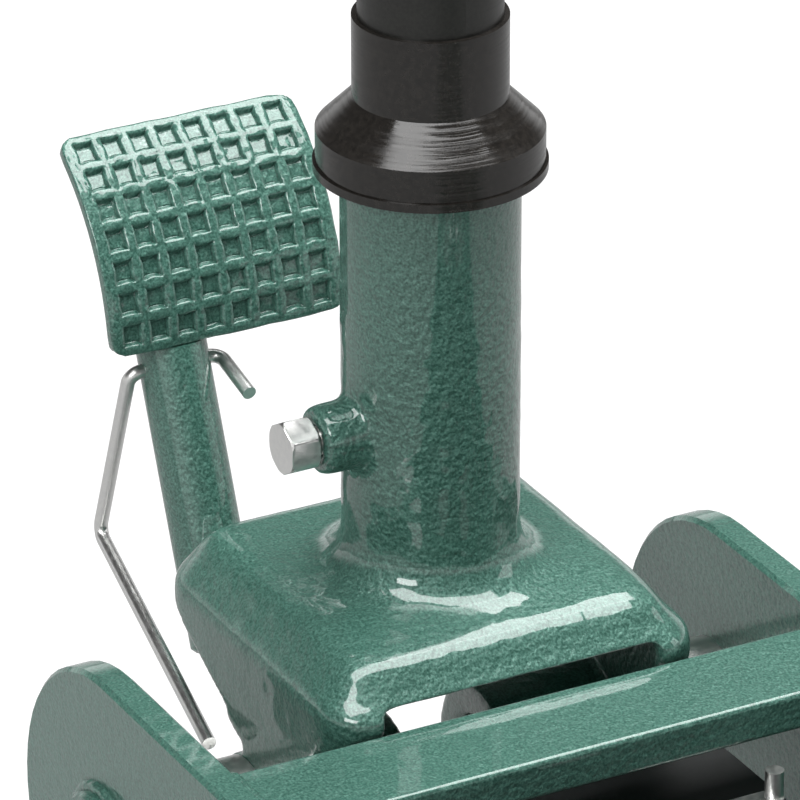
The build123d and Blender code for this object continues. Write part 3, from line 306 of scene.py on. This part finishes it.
# %% Speckle between two colours
speckle, speckle_in, speckle_out = new_group(
    "speckle",
    [("Dark", "NodeSocketColor", (0, 0, 0, 1)), ("Light", "NodeSocketColor", (1, 1, 1, 1)),
     ("Size", "NodeSocketFloat", 900.0),
     ("Low", "NodeSocketFloat", 0.35), ("High", "NodeSocketFloat", 0.65)],
    [("Color", "NodeSocketColor"), ("Mask", "NodeSocketFloat")],
)
fine = noise(speckle, 900, 3, 0.6)
speckle.links.new(speckle_in.outputs["Size"], fine.inputs["Scale"])
spread = speckle.nodes.new("ShaderNodeMapRange")
speckle.links.new(fine.outputs["Fac"], spread.inputs["Value"])
speckle.links.new(speckle_in.outputs["Low"], spread.inputs["From Min"])
speckle.links.new(speckle_in.outputs["High"], spread.inputs["From Max"])
blend = speckle.nodes.new("ShaderNodeMix")
blend.data_type = "RGBA"
speckle.links.new(spread.outputs["Result"], blend.inputs["Factor"])
speckle.links.new(speckle_in.outputs["Dark"], blend.inputs["A"])
speckle.links.new(speckle_in.outputs["Light"], blend.inputs["B"])
speckle.links.new(blend.outputs["Result"], speckle_out.inputs["Color"])
speckle.links.new(spread.outputs["Result"], speckle_out.inputs["Mask"])

# %% [markdown]
# The second group is a height. Slow noise gives the waves of thick paint, and a share of fast
# noise gives its grain.

# %% Uneven height out of two noises
peel, peel_in, peel_out = new_group(
    "uneven_height",
    [("Coarse Size", "NodeSocketFloat", 60.0), ("Fine Size", "NodeSocketFloat", 500.0),
     ("Fine Share", "NodeSocketFloat", 0.3)],
    [("Height", "NodeSocketFloat")],
)
coarse = noise(peel, 60, 1)
grain = noise(peel, 500, 2)
peel.links.new(peel_in.outputs["Coarse Size"], coarse.inputs["Scale"])
peel.links.new(peel_in.outputs["Fine Size"], grain.inputs["Scale"])
both = peel.nodes.new("ShaderNodeMix")
peel.links.new(peel_in.outputs["Fine Share"], both.inputs["Factor"])
peel.links.new(coarse.outputs["Fac"], both.inputs["A"])
peel.links.new(grain.outputs["Fac"], both.inputs["B"])
peel.links.new(both.outputs["Result"], peel_out.inputs["Height"])

# %% [markdown]
# The third group squeezes the place along Z before it asks for noise, which draws thin rings
# round every upright axis.

# %% Turned rings: noise that changes fast along Z and slowly round it
turned, turned_in, turned_out = new_group(
    "turned_lines",
    [("Low", "NodeSocketFloat", 0.35), ("High", "NodeSocketFloat", 0.65)],
    [("Height", "NodeSocketFloat")],
)
turned_place = turned.nodes.new("ShaderNodeTexCoord")
squeeze = turned.nodes.new("ShaderNodeVectorMath")
squeeze.operation = "MULTIPLY"
squeeze.inputs[1].default_value = (26, 26, 950)
rings = turned.nodes.new("ShaderNodeTexNoise")
rings.inputs["Scale"].default_value = 1.0
rings.inputs["Detail"].default_value = 3
sharpen = turned.nodes.new("ShaderNodeMapRange")
turned.links.new(turned_place.outputs["Object"], squeeze.inputs[0])
turned.links.new(squeeze.outputs["Vector"], rings.inputs["Vector"])
turned.links.new(rings.outputs["Fac"], sharpen.inputs["Value"])
turned.links.new(turned_in.outputs["Low"], sharpen.inputs["From Min"])
turned.links.new(turned_in.outputs["High"], sharpen.inputs["From Max"])
turned.links.new(sharpen.outputs["Result"], turned_out.inputs["Height"])
print("groups:", speckle.name, peel.name, "and", turned.name)

# %% [markdown]
# ## Finishes
# Each finish is a Principled shader fed by the groups. The enamel is a dark blue-green with fine
# silver-green flakes under a gloss coat, whose surface is slightly wavy like orange skin. The
# collar is rubber turned on a lathe, so its gloss changes in rings.

# %% A helper that makes one finish


def finish(name, dark, light, size, rough, metallic=0.0, coat=0.0, coat_rough=0.05, bump=0.1,
           depth=1.0, coarse_size=60.0, fine_size=500.0, fine_share=0.3, low=0.35, high=0.65,
           rough_swing=0.05, lines=False):
    """A Principled material with speckled colour, uneven roughness and a bump."""
    mat = bpy.data.materials.new(name)
    mat.use_nodes = True
    nodes, links = mat.node_tree.nodes, mat.node_tree.links
    shader = nodes["Principled BSDF"]
    shader.inputs["Metallic"].default_value = metallic
    shader.inputs["Coat Weight"].default_value = coat
    shader.inputs["Coat Roughness"].default_value = coat_rough
    spots = nodes.new("ShaderNodeGroup")
    spots.node_tree = speckle
    spots.inputs["Dark"].default_value = (*dark, 1)
    spots.inputs["Light"].default_value = (*light, 1)
    spots.inputs["Size"].default_value = size
    spots.inputs["Low"].default_value = low
    spots.inputs["High"].default_value = high
    links.new(spots.outputs["Color"], shader.inputs["Base Color"])
    gloss = nodes.new("ShaderNodeMapRange")
    gloss.inputs["To Min"].default_value = rough - rough_swing
    gloss.inputs["To Max"].default_value = rough + rough_swing
    links.new(spots.outputs["Mask"], gloss.inputs["Value"])
    if lines:
        rings = nodes.new("ShaderNodeGroup")
        rings.node_tree = turned
        links.new(rings.outputs["Height"], gloss.inputs["Value"])
    links.new(gloss.outputs["Result"], shader.inputs["Roughness"])
    waves = nodes.new("ShaderNodeGroup")
    waves.node_tree = peel
    waves.inputs["Coarse Size"].default_value = coarse_size
    waves.inputs["Fine Size"].default_value = fine_size
    waves.inputs["Fine Share"].default_value = fine_share
    lift = nodes.new("ShaderNodeBump")
    lift.inputs["Strength"].default_value = bump
    lift.inputs["Distance"].default_value = depth * MM
    links.new((rings if lines else waves).outputs["Height"], lift.inputs["Height"])
    links.new(lift.outputs["Normal"], shader.inputs["Normal"])
    return mat


# %% [markdown]
# The enamel's values were matched to small patches of the photograph: the flakes are about half a
# millimetre wide, and the coat over them reflects more than plain varnish does.

# %% Green enamel
enamel = finish("green_enamel", (0.018, 0.078, 0.058), (0.082, 0.200, 0.158), 1200, 0.46,
                metallic=0.2, coat=1.0, bump=0.5, coarse_size=400, fine_size=1300, fine_share=0.12,
                low=0.36, high=0.66, coat_rough=0.04, depth=1.9)
enamel_shader = enamel.node_tree.nodes["Principled BSDF"]
enamel_shader.inputs["Coat IOR"].default_value = 1.6
print("enamel's coat has an index of", round(enamel_shader.inputs["Coat IOR"].default_value, 2))

# %% [markdown]
# The socket tube is rougher than the plates, so the casting has the same enamel with a bump that
# grows from the hood's top to the tube.

# %% Enamel of the casting
cast_enamel = enamel.copy()
cast_enamel.name = "cast_enamel"
cast_nodes, cast_links = cast_enamel.node_tree.nodes, cast_enamel.node_tree.links
spot = cast_nodes.new("ShaderNodeTexCoord")
spot_height = cast_nodes.new("ShaderNodeSeparateXYZ")
coarser = cast_nodes.new("ShaderNodeMapRange")
SMOOTH_BELOW, ROUGH_ABOVE = 0.175, 0.215
coarser.inputs["From Min"].default_value = SMOOTH_BELOW
coarser.inputs["From Max"].default_value = ROUGH_ABOVE
coarser.inputs["To Min"].default_value = 0.5
coarser.inputs["To Max"].default_value = 0.95
cast_links.new(spot.outputs["Object"], spot_height.inputs[0])
cast_links.new(spot_height.outputs["Z"], coarser.inputs["Value"])
cast_links.new(coarser.outputs["Result"], cast_nodes["Bump"].inputs["Strength"])
print("the casting's enamel is rougher above", ROUGH_ABOVE, "m")

# %% [markdown]
# The remaining finishes are simpler: satin black for the power unit, turned rubber for the collar,
# powder coat for the handle, bright zinc for shafts and screws, hard chrome for the ram, and
# rough iron for the wheels and the saddle.

# %% The other finishes
black_enamel = finish("black_enamel", (0.006, 0.007, 0.007), (0.016, 0.017, 0.017), 800, 0.55,
                      bump=0.2)
rubber = finish("black_rubber", (0.010, 0.009, 0.008), (0.018, 0.016, 0.014), 500, 0.17,
                bump=0.06, lines=True, rough_swing=0.08)
powder = finish("black_powder_coat", (0.008, 0.008, 0.007), (0.014, 0.014, 0.012), 900, 0.36,
                bump=0.02, lines=True, rough_swing=0.04)
zinc = finish("bright_zinc", (0.78, 0.78, 0.77), (0.84, 0.84, 0.82), 420, 0.33, metallic=1.0,
              bump=0.008, coarse_size=200, fine_size=900)
chrome = finish("hard_chrome", (0.70, 0.71, 0.72), (0.80, 0.81, 0.82), 60, 0.10, metallic=1.0,
                bump=0.02)
iron = finish("dark_cast_iron", (0.022, 0.022, 0.023), (0.050, 0.050, 0.052), 420, 0.55,
              metallic=0.2, bump=0.6, coarse_size=200, fine_size=900)
FINISHES = {
    "green_paint": enamel, "black_paint": black_enamel, "zinc_steel": zinc, "hard_chrome": chrome,
    "black_rubber": rubber, "black_handle": powder, "saddle_black": iron, "wheel_black": iron,
}
slot_of = {part["node"]: part["material_slot"] for part in frame["record"]["subparts"]}
for node, obj in frame["nodes"].items():
    for place in obj.material_slots:
        place.material = FINISHES[slot_of[node]]
print(len(frame["nodes"]), "solids have", len(set(FINISHES.values())), "finishes")

# %% [markdown]
# ## Helpers for modelling
# Every operator acts on what is selected, so each step begins by selecting one piece alone, and
# then, where needed, only some of its faces by a rule on their place or normal. A modifier is
# added, set and applied in one go, as one does by hand when a shape is settled.

# %% Helpers for selecting and for modifiers


def alone(*pieces):
    """Leave edit mode and select these pieces only; the first one is active."""
    if bpy.context.mode != "OBJECT":
        bpy.ops.object.mode_set(mode="OBJECT")
    bpy.ops.object.select_all(action="DESELECT")
    for piece in pieces:
        piece.select_set(True)
    bpy.context.view_layer.objects.active = pieces[0]
    return pieces[0]


def pick(piece, rule):
    """Enter edit mode with only those faces selected that a rule takes."""
    alone(piece)
    bpy.ops.object.mode_set(mode="EDIT")
    bpy.ops.mesh.select_mode(type="FACE")
    bpy.ops.mesh.select_all(action="DESELECT")
    bpy.ops.object.mode_set(mode="OBJECT")
    for face in piece.data.polygons:
        face.select = rule(face)
    bpy.ops.object.mode_set(mode="EDIT")


def every(face):
    """A rule that takes every face."""
    return True


def modify(piece, kind, **values):
    """Add a modifier, set its values and apply it."""
    alone(piece)
    step = piece.modifiers.new(kind.lower(), kind)
    for key, value in values.items():
        setattr(step, key, value)
    bpy.ops.object.modifier_apply(modifier=step.name)


# %% [markdown]
# A vertex group is a soft mask on the mesh's points. Here its weights come from a rule on the
# place, so a modifier can act fully on one region and fade out towards the next.

# %% Helpers for soft weights


def weigh(piece, name, rule):
    """A vertex group whose weight is a rule of the place in millimetres from the socket's axis."""
    group = piece.vertex_groups.new(name=name)
    for vertex in piece.data.vertices:
        x, y, z = (vertex.co - Vector((HANDLE_X, 0, 0))) / MM
        weight = rule(x, y, z)
        if weight > 0.001:
            group.add([vertex.index], min(weight, 1.0), "REPLACE")
    return name


def ramp(value, start, end):
    """A soft step from 0 at start to 1 at end."""
    share = min(max((value - start) / (end - start), 0.0), 1.0)
    return share * share * (3 - 2 * share)


# %% [markdown]
# Bores are cut with a round tool. One could scale a cylinder's object, but a piece has to end with
# its place in its mesh, so the place is applied as soon as the primitive is there.

# %% Helpers for names, round tools and cuts


def rename(piece, name):
    """Give a piece and its mesh one name."""
    piece.name = name
    piece.data.name = name
    return piece


def cylinder(name, middle, direction, radius, length, sides=64):
    """A cylinder about a point, along a direction, with its place in its mesh."""
    if bpy.context.mode != "OBJECT":
        bpy.ops.object.mode_set(mode="OBJECT")
    bpy.ops.object.select_all(action="DESELECT")
    turn = Vector(direction).to_track_quat("Z", "Y").to_euler()
    bpy.ops.mesh.primitive_cylinder_add(vertices=sides, radius=radius * MM, depth=length * MM,
                                        location=middle, rotation=turn)
    piece = rename(bpy.context.object, name)
    bpy.ops.object.transform_apply(location=True, rotation=True, scale=True)
    return piece


def cut(piece, tool):
    """Take a tool's volume out of a piece and throw the tool away."""
    modify(piece, "BOOLEAN", operation="DIFFERENCE", object=tool, solver="EXACT")
    bpy.data.objects.remove(tool)


print("helpers are ready")

# %% [markdown]
# ## Yoke casting
# The hood and the socket tube are one heavy piece: the tube is welded on with a wide soft bead,
# and every edge is rounded by casting skin and paint. One could fillet each edge of the solids,
# but where many fillets meet they look like a drawing. Here both solids are copied, joined into
# one skin by a voxel remesh, and smoothed where the real piece is soft.

# %% Copies of the hood and the tube


def merged_copy(node, name):
    """A copy of a solid's mesh with its loose triangles joined up."""
    piece = bpy.data.objects.new(name, frame["nodes"][node].data.copy())
    scene.collection.objects.link(piece)
    alone(piece)
    bpy.ops.mesh.customdata_custom_splitnormals_clear()
    bpy.ops.object.mode_set(mode="EDIT")
    bpy.ops.mesh.select_all(action="SELECT")
    bpy.ops.mesh.remove_doubles(threshold=0.00001)
    bpy.ops.object.mode_set(mode="OBJECT")
    return piece


casting = merged_copy("handle_yoke", "yoke_casting")
tube = merged_copy("handle_socket", "socket_skin")
HOOD_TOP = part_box("handle_yoke")[1].z / MM
TUBE_SINKS = 1.9
for vertex in tube.data.vertices:
    if vertex.co.z / MM < HOOD_TOP + 0.1:
        vertex.co.z -= TUBE_SINKS * MM
print("hood and tube copied; the hood's top is at", round(HOOD_TOP, 1), "mm")

# %% [markdown]
# The yoke hangs on its shaft by two ears. On the real casting they are round and slim behind the
# hood, so a wedge is cut from each flank and a disc is put round the bore.

# %% Slimmer ears
EAR_Y, EAR_Z, EAR_R, EAR_T = 66, 95, 20.5, 8
WEDGE_TOP = at(-40.8, 0, 133.8)
for sign in (-1, 1):
    bpy.ops.object.select_all(action="DESELECT")
    bpy.ops.mesh.primitive_cube_add(size=1, location=at(-45, sign * EAR_Y, 100))
    wedge = bpy.context.object
    bpy.ops.object.mode_set(mode="EDIT")
    bpy.ops.transform.resize(value=(80 * MM, 12 * MM, 120 * MM))
    bpy.ops.mesh.bisect(plane_co=WEDGE_TOP, plane_no=(0.385, 0, 0.923), use_fill=True,
                        clear_outer=True)
    bpy.ops.object.mode_set(mode="OBJECT")
    bpy.ops.object.transform_apply(location=True, rotation=True, scale=True)
    cut(casting, wedge)
ears = [cylinder("ear", at(0, sign * EAR_Y, EAR_Z), (0, 1, 0), EAR_R, EAR_T) for sign in (-1, 1)]
print("two ears of", EAR_R, "mm radius")

# %% [markdown]
# The remesh throws away the old faces and lays an even net over everything that touches. A net
# of 1.4 mm is fine enough for the soft edges and light enough for the library.

# %% One skin
alone(casting, tube, *ears)
bpy.ops.object.join()
modify(casting, "REMESH", mode="VOXEL", voxel_size=1.4 * MM)
print("one skin with", len(casting.data.polygons), "faces")

# %% [markdown]
# The hood's top droops towards its front lip, ever faster, which makes the wide bright band in the
# photograph. A bend operator needs a window, so the points are moved down by a weight.

# %% Drop the front edge
LIP_FROM, LIP_LENGTH, LIP_DROP = 18, 50, 6.5


def lip(x, y, z):
    """Grows ever faster towards the front edge of the hood's top."""
    return max((x - LIP_FROM) / LIP_LENGTH, 0) ** 2.2 * ramp(z, 156, 172)


weigh(casting, "front", lip)
modify(casting, "DISPLACE", direction="Z", mid_level=0.0, strength=-LIP_DROP * MM,
       vertex_group="front")
print("the front edge drops by up to", LIP_DROP, "mm")

# %% [markdown]
# The smooth modifier rounds what its weight allows: much on the hood's shoulders, little at the
# lower rims, none on the tube. The foot of the screw's boss gets its own soft fillet.

# %% Soften the skin
BOSS = Vector((0, -33, 228.7))


def softness(x, y, z):
    """Full on the hood's top and shoulders, little at its lower rims, none on the tube."""
    upper = 0.10 + 0.15 * ramp(z, 148, 154) + 0.75 * ramp(z, 158, 167)
    return upper * (1 - ramp(z, 190, 200))


def near_boss(x, y, z):
    """Full at the foot of the screw's boss."""
    return 1 - ramp((Vector((x, y, z)) - BOSS).length, 14, 26)


weigh(casting, "soft", softness)
modify(casting, "SMOOTH", factor=0.5, iterations=70, vertex_group="soft")
weigh(casting, "boss", near_boss)
modify(casting, "SMOOTH", factor=0.5, iterations=30, vertex_group="boss")
print("softened")

# %% [markdown]
# A casting is never quite even. Clouds of about a centimetre lift and sink the surface by a
# fraction of a millimetre, which breaks the edges of the reflections.

# %% Skin of the casting


def outside(x, y, z):
    """Everywhere but inside the socket and at the collar."""
    return (1 - ramp(z, 262, 300)) * ramp(math.hypot(x, y), 27.6, 29.5)


skin = bpy.data.textures.new("casting_skin", "CLOUDS")
skin.noise_scale = 11 * MM
weigh(casting, "outside", outside)
modify(casting, "DISPLACE", texture=skin, texture_coords="GLOBAL", mid_level=0.5,
       strength=0.5 * MM, vertex_group="outside")
casting.vertex_groups.clear()
print("the skin waves by half a millimetre")

# %% [markdown]
# Softening has also touched the bores, so they are cut once more to their running size. Edges
# sharper than 50 degrees stay sharp in the shading.

# %% Clean bores again, then hand it to the yoke
SHAFT_BORE, PIN_BORE, SCREW_BORE = 13.3, 5.3, 5.3
cut(casting, cylinder("bore", at(0, 0, EAR_Z), (0, 1, 0), SHAFT_BORE, 160, 96))
cut(casting, cylinder("bore", at(0, 0, 69), (0, 1, 0), PIN_BORE, 62.7, 48))
cut(casting, cylinder("bore", at(0, -40, BOSS.z), (0, 1, 0), SCREW_BORE, 40, 48))
alone(casting)
bpy.ops.object.shade_smooth_by_angle(angle=math.radians(50))
casting.data.materials.clear()
casting.data.materials.append(cast_enamel)
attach(casting, "yoke")
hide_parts("handle_yoke", "handle_socket")
print("yoke casting:", len(casting.data.polygons), "faces")

# %% [markdown]
# ## Weld beads
# The end caps, the cross bar and the brackets of the rear wheels are welded to the side plates. A
# bead is weld metal laid down in small ripples, then painted over. A straight one starts as a
# round bar with a ball at each end, joined into one skin; a ring starts as a torus. Both get
# their unevenness from a cloud pattern.

# %% One bead
bead_skin = bpy.data.textures.new("bead_ripples", "CLOUDS")
bead_skin.noise_scale = 2.6 * MM
RING_R, RING_BEAD = 21.6, 2.5


def settle_bead(piece):
    """Ripples, a smooth skin, the enamel and the frame's own body."""
    modify(piece, "DISPLACE", texture=bead_skin, texture_coords="GLOBAL", mid_level=0.5,
           strength=1.3 * MM)
    modify(piece, "SMOOTH", factor=0.5, iterations=2)
    alone(piece)
    bpy.ops.object.shade_smooth()
    piece.data.materials.clear()
    piece.data.materials.append(enamel)
    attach(piece, "chassis")


def bead(name, start, end, radius):
    """A straight bead between two points."""
    parts = [cylinder(name, (start + end) / 2, end - start, radius, (end - start).length / MM, 24)]
    for tip in (start, end):
        bpy.ops.object.select_all(action="DESELECT")
        bpy.ops.mesh.primitive_ico_sphere_add(subdivisions=3, radius=radius * MM, location=tip)
        bpy.ops.object.transform_apply(location=True, rotation=True, scale=True)
        parts.append(bpy.context.object)
    alone(*parts)
    bpy.ops.object.join()
    modify(parts[0], "REMESH", mode="VOXEL", voxel_size=0.6 * MM)
    settle_bead(parts[0])


def ring_bead(name, middle):
    """A bead round an end cap."""
    bpy.ops.object.select_all(action="DESELECT")
    bpy.ops.mesh.primitive_torus_add(
        major_radius=RING_R * MM, minor_radius=RING_BEAD * MM, major_segments=200,
        minor_segments=20, location=middle, rotation=(math.pi / 2, 0, 0))
    ring = rename(bpy.context.object, name)
    bpy.ops.object.transform_apply(location=True, rotation=True, scale=True)
    settle_bead(ring)


print("straight and round beads can be made")


# %% [markdown]
# The beads' places are read from the boxes of the plates, the bar and the brackets, so they follow
# when the solids change. Left and right are made in turn, each with its own mesh.

# %% Beads on both side plates
plate_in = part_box("side_plate_left")[0].y / MM
plate_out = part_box("side_plate_left")[1].y / MM
bar_low, bar_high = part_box("rear_cross_bar")
bracket_low, bracket_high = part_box("caster_bracket_left")
BAR_BEAD, BRACKET_BEAD = 2.4, 2.8


def line_along(low, high, inset, y, z):
    """Two points on a line along X, inset from both ends of a box."""
    return [Vector((x, y * MM, z * MM)) for x in (low.x + inset * MM, high.x - inset * MM)]


for hand, sign in (("right", -1), ("left", 1)):
    inner, outer = sign * (plate_in - 0.5), sign * (plate_out + 0.5)
    bead(f"weld_bar_top_{hand}", *line_along(bar_low, bar_high, 3, inner, 153.5), BAR_BEAD)
    bead(f"weld_bar_under_{hand}", *line_along(bar_low, bar_high, 3, inner, 140.5), BAR_BEAD)
    bead(f"weld_bracket_{hand}", *line_along(bracket_low, bracket_high, 14, outer, 107.5),
         BRACKET_BEAD)
    ring_bead(f"weld_cap_{hand}", at(0, sign * (plate_out + 0.4), EAR_Z))
print("six straight beads and two rings lie on the side plates")

# %% [markdown]
# ## Waffle foot pad
# The pad is a curved plate whose tread has rows of sunk squares with swollen ridges, as drop
# forging leaves them. It could be cut from a block, but soft ridges come most easily from a flat
# grid: each cell is inset and pushed down, the middle of its floor is lifted a little, the
# surface is subdivided, and the whole plate is then bent to its radius.

# %% [markdown]
# An even grid is stretched until its inner lines stand a cell's pitch apart, and what is left
# becomes the border. The four corners are pulled in, which the subdivision rounds later.

# %% Flat plate with a border round the cells
pad_low, pad_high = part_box("pedal_pad")
PAD_R, PAD_T, PAD_FROM, PAD_TO = 80.0, 4.0, 2.5, 61.1
PAD_WIDTH = (pad_high.y - pad_low.y) / MM
PAD_LENGTH = PAD_R * math.radians(PAD_TO - PAD_FROM)
COLUMNS, ROWS, PITCH, ROW_PITCH = 8, 7, 10.4, 11.2
CORNER_CUT = 2.4
bpy.ops.object.select_all(action="DESELECT")
bpy.ops.mesh.primitive_grid_add(x_subdivisions=COLUMNS + 2, y_subdivisions=ROWS + 2, size=1,
                                location=(0, 0, 0))
pad = rename(bpy.context.object, "waffle_pad")


def grid_place(share, cells, pitch, whole):
    """Where a line of the even grid has to go: a cell's pitch apart, with the rest as border."""
    line = round((share + 0.5) * (cells + 2))
    if line in (0, cells + 2):
        return math.copysign(whole / 2, share) * MM
    return (line - 1 - cells / 2) * pitch * MM


for vertex in pad.data.vertices:
    vertex.co.x = grid_place(vertex.co.x, COLUMNS, PITCH, PAD_WIDTH)
    vertex.co.y = grid_place(vertex.co.y, ROWS, ROW_PITCH, PAD_LENGTH)
    end_x = abs(abs(vertex.co.x) - PAD_WIDTH / 2 * MM) < 1e-6
    end_y = abs(abs(vertex.co.y) - PAD_LENGTH / 2 * MM) < 1e-6
    if end_x and end_y:
        vertex.co.x -= math.copysign(CORNER_CUT * MM, vertex.co.x)
        vertex.co.y -= math.copysign(CORNER_CUT * MM, vertex.co.y)
print("plate", round(PAD_WIDTH, 1), "by", round(PAD_LENGTH, 1), "mm")

# %% [markdown]
# Each cell is first cut into sixteen faces, because the subdivision would make a round dimple of
# a single one. The first inset leaves the ridge, two more sink the floor, and the last lifts its
# middle a little.

# %% Cells pushed down one by one
SINK_STEPS = ((1.8, 0.0), (0.4, -0.9), (0.5, -1.5), (1.0, 0.3))


def within(face, x, y, width, length):
    """Whether a face lies in a rectangle of the flat plate, all in millimetres."""
    return (abs(face.center.x - x * MM) < width / 2 * MM
            and abs(face.center.y - y * MM) < length / 2 * MM)


def sink_cell(x, y):
    """Inset one cell in steps, and move its middle down or up after each."""
    pick(pad, lambda face: within(face, x, y, PITCH, ROW_PITCH))
    for width, fall in SINK_STEPS:
        bpy.ops.mesh.inset(thickness=width * MM, depth=0, use_boundary=True,
                           use_even_offset=False)
        bpy.ops.transform.translate(value=(0, 0, fall * MM))


pick(pad, lambda face: within(face, 0, 0, PITCH * COLUMNS, ROW_PITCH * ROWS))
bpy.ops.mesh.subdivide(number_cuts=3)
for column in range(COLUMNS):
    for row in range(ROWS):
        sink_cell((column - (COLUMNS - 1) / 2) * PITCH, (row - (ROWS - 1) / 2) * ROW_PITCH)
bpy.ops.object.mode_set(mode="OBJECT")
print(COLUMNS * ROWS, "cells sunk;", len(pad.data.polygons), "faces")

# %% [markdown]
# The open edge is extruded down three times: two short steps keep the rims firm when the plate
# is subdivided, and the long one between them is the side. One large face closes the back.

# %% The plate's thickness
alone(pad)
bpy.ops.object.mode_set(mode="EDIT")
bpy.ops.mesh.select_mode(type="EDGE")
bpy.ops.mesh.select_all(action="DESELECT")
bpy.ops.mesh.select_non_manifold(use_wire=False, use_boundary=True, use_multi_face=False,
                                 use_non_contiguous=False, use_verts=False)
for drop in (0.5, PAD_T - 1.0, 0.5):
    bpy.ops.mesh.extrude_region_move(TRANSFORM_OT_translate={"value": (0, 0, -drop * MM)})
bpy.ops.mesh.edge_face_add()
bpy.ops.object.mode_set(mode="OBJECT")
pick(pad, lambda face: len(face.vertices) > 8)
bpy.ops.mesh.inset(thickness=2 * MM)
bpy.ops.mesh.select_all(action="SELECT")
bpy.ops.mesh.normals_make_consistent(inside=False)
bpy.ops.object.mode_set(mode="OBJECT")
print("pad has", len(pad.data.polygons), "faces before it is subdivided")

# %% [markdown]
# One level of subdivision rounds the ridges without melting the squares. Small dents on the tread
# only make them as uneven as forged ones.

# %% Soft ridges
modify(pad, "SUBSURF", levels=1, render_levels=1)
dents = bpy.data.textures.new("tread_dents", "CLOUDS")
dents.noise_scale = 3.2 * MM
weigh(pad, "tread", lambda x, y, z: ramp(z, -2.6, -1.8))
modify(pad, "DISPLACE", texture=dents, texture_coords="LOCAL", mid_level=0.5,
       strength=1.0 * MM, vertex_group="tread")
pad.vertex_groups.clear()
print("ridges are soft and dented")

# %% [markdown]
# The bend operator needs a window, so the bend is a formula: the length along the plate becomes
# an angle, and the height becomes the distance from the centre.

# %% The bend
half = math.radians((PAD_FROM + PAD_TO) / 2)
centre = Vector((pad_high.x - PAD_R * MM * math.cos(math.radians(PAD_FROM)), 0, 0))
centre.z = pad_low.z - (PAD_R - PAD_T) * MM * math.sin(math.radians(PAD_FROM))
for vertex in pad.data.vertices:
    turn = half + vertex.co.y / (PAD_R * MM)
    reach = PAD_R * MM + vertex.co.z
    across = (pad_low.y + pad_high.y) / 2 + vertex.co.x
    vertex.co = Vector((centre.x + reach * math.cos(turn), across,
                        centre.z + reach * math.sin(turn)))
pick(pad, every)
bpy.ops.mesh.normals_make_consistent(inside=False)
bpy.ops.object.mode_set(mode="OBJECT")
bpy.ops.object.shade_smooth()
pad.data.materials.clear()
pad.data.materials.append(enamel)
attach(pad, "yoke")
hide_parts("pedal_pad")
print("waffle pad:", len(pad.data.polygons), "faces")

# %% [markdown]
# ## Clamp screw
# A 17 mm hexagon head with turned-off corners sits on a threaded shank that runs through the
# boss. The corners are cut by a cone in the real lathe; here the head starts as a cylinder of
# six sides, and a double cone is kept in common with it. The thread is a row of thin ridges.

# %% [markdown]
# The corners of a hexagon that is turned in a lathe are rounded at its ends. The bevel of the
# round turner does that when only what both shapes share is kept.

# %% Head
screw_low, screw_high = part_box("clamp_screw")
SCREW_Z = (screw_low.z + screw_high.z) / 2 / MM
HEAD_Y = screw_low.y / MM
HEAD_T, HEXAGON, TURNED_R = 11, 17, 9.75
HEAD_MIDDLE = at(0, HEAD_Y + HEAD_T / 2, SCREW_Z)
head = cylinder("clamp_bolt", HEAD_MIDDLE, (0, -1, 0), HEXAGON / math.sqrt(3), HEAD_T, 6)
pick(head, every)
bpy.ops.mesh.bevel(offset=0.35 * MM, segments=2, affect="EDGES")
turner = cylinder("turner", HEAD_MIDDLE, (0, -1, 0), TURNED_R, HEAD_T, 96)
pick(turner, lambda face: abs(face.normal.y) > 0.9)
bpy.ops.mesh.bevel(offset=1.9 * MM, segments=3, affect="EDGES")
modify(head, "BOOLEAN", operation="INTERSECT", object=turner, solver="EXACT")
bpy.data.objects.remove(turner)
print("head has", len(head.data.polygons), "faces")

# %% [markdown]
# A true helix would cost thousands of faces and hardly show in the boss. Ten thin ridges at the
# thread's pitch look the same, so they are made by a loop and joined to the head.

# %% Threaded shank
SHANK_R, THREAD_R, THREAD_PITCH = 4.2, 4.9, 1.25
SHANK_END = screw_high.y / MM
shank = cylinder("shank", at(0, (HEAD_Y + HEAD_T + SHANK_END) / 2, SCREW_Z), (0, 1, 0), SHANK_R,
                 SHANK_END - HEAD_Y - HEAD_T - 0.2, 32)
threads = [shank]
for turn in range(10):
    thread_y = HEAD_Y + HEAD_T + 0.5 + turn * THREAD_PITCH
    threads.append(cylinder("thread", at(0, thread_y, SCREW_Z), (0, 1, 0), THREAD_R, 0.7, 32))
    pick(threads[-1], every)
    bpy.ops.mesh.bevel(offset=0.25 * MM, segments=1, affect="EDGES")
alone(head, *threads)
bpy.ops.object.join()
bpy.ops.object.shade_smooth_by_angle(angle=math.radians(25))
head.data.materials.clear()
head.data.materials.append(zinc)
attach(head, "yoke")
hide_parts("clamp_screw")
print("clamp bolt:", len(head.data.polygons), "faces")

# %% [markdown]
# ## Sizes
# The dressed jack should keep close to the size of its solids, so how far its box has grown past
# theirs is printed. The dressed jack has to keep the size of its solids.

# %% Print how far the box has grown
low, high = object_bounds()
growth = (*(cad_low - low), *(high - cad_high))
print("grown by", [round(v / MM, 2) for v in growth], "mm")
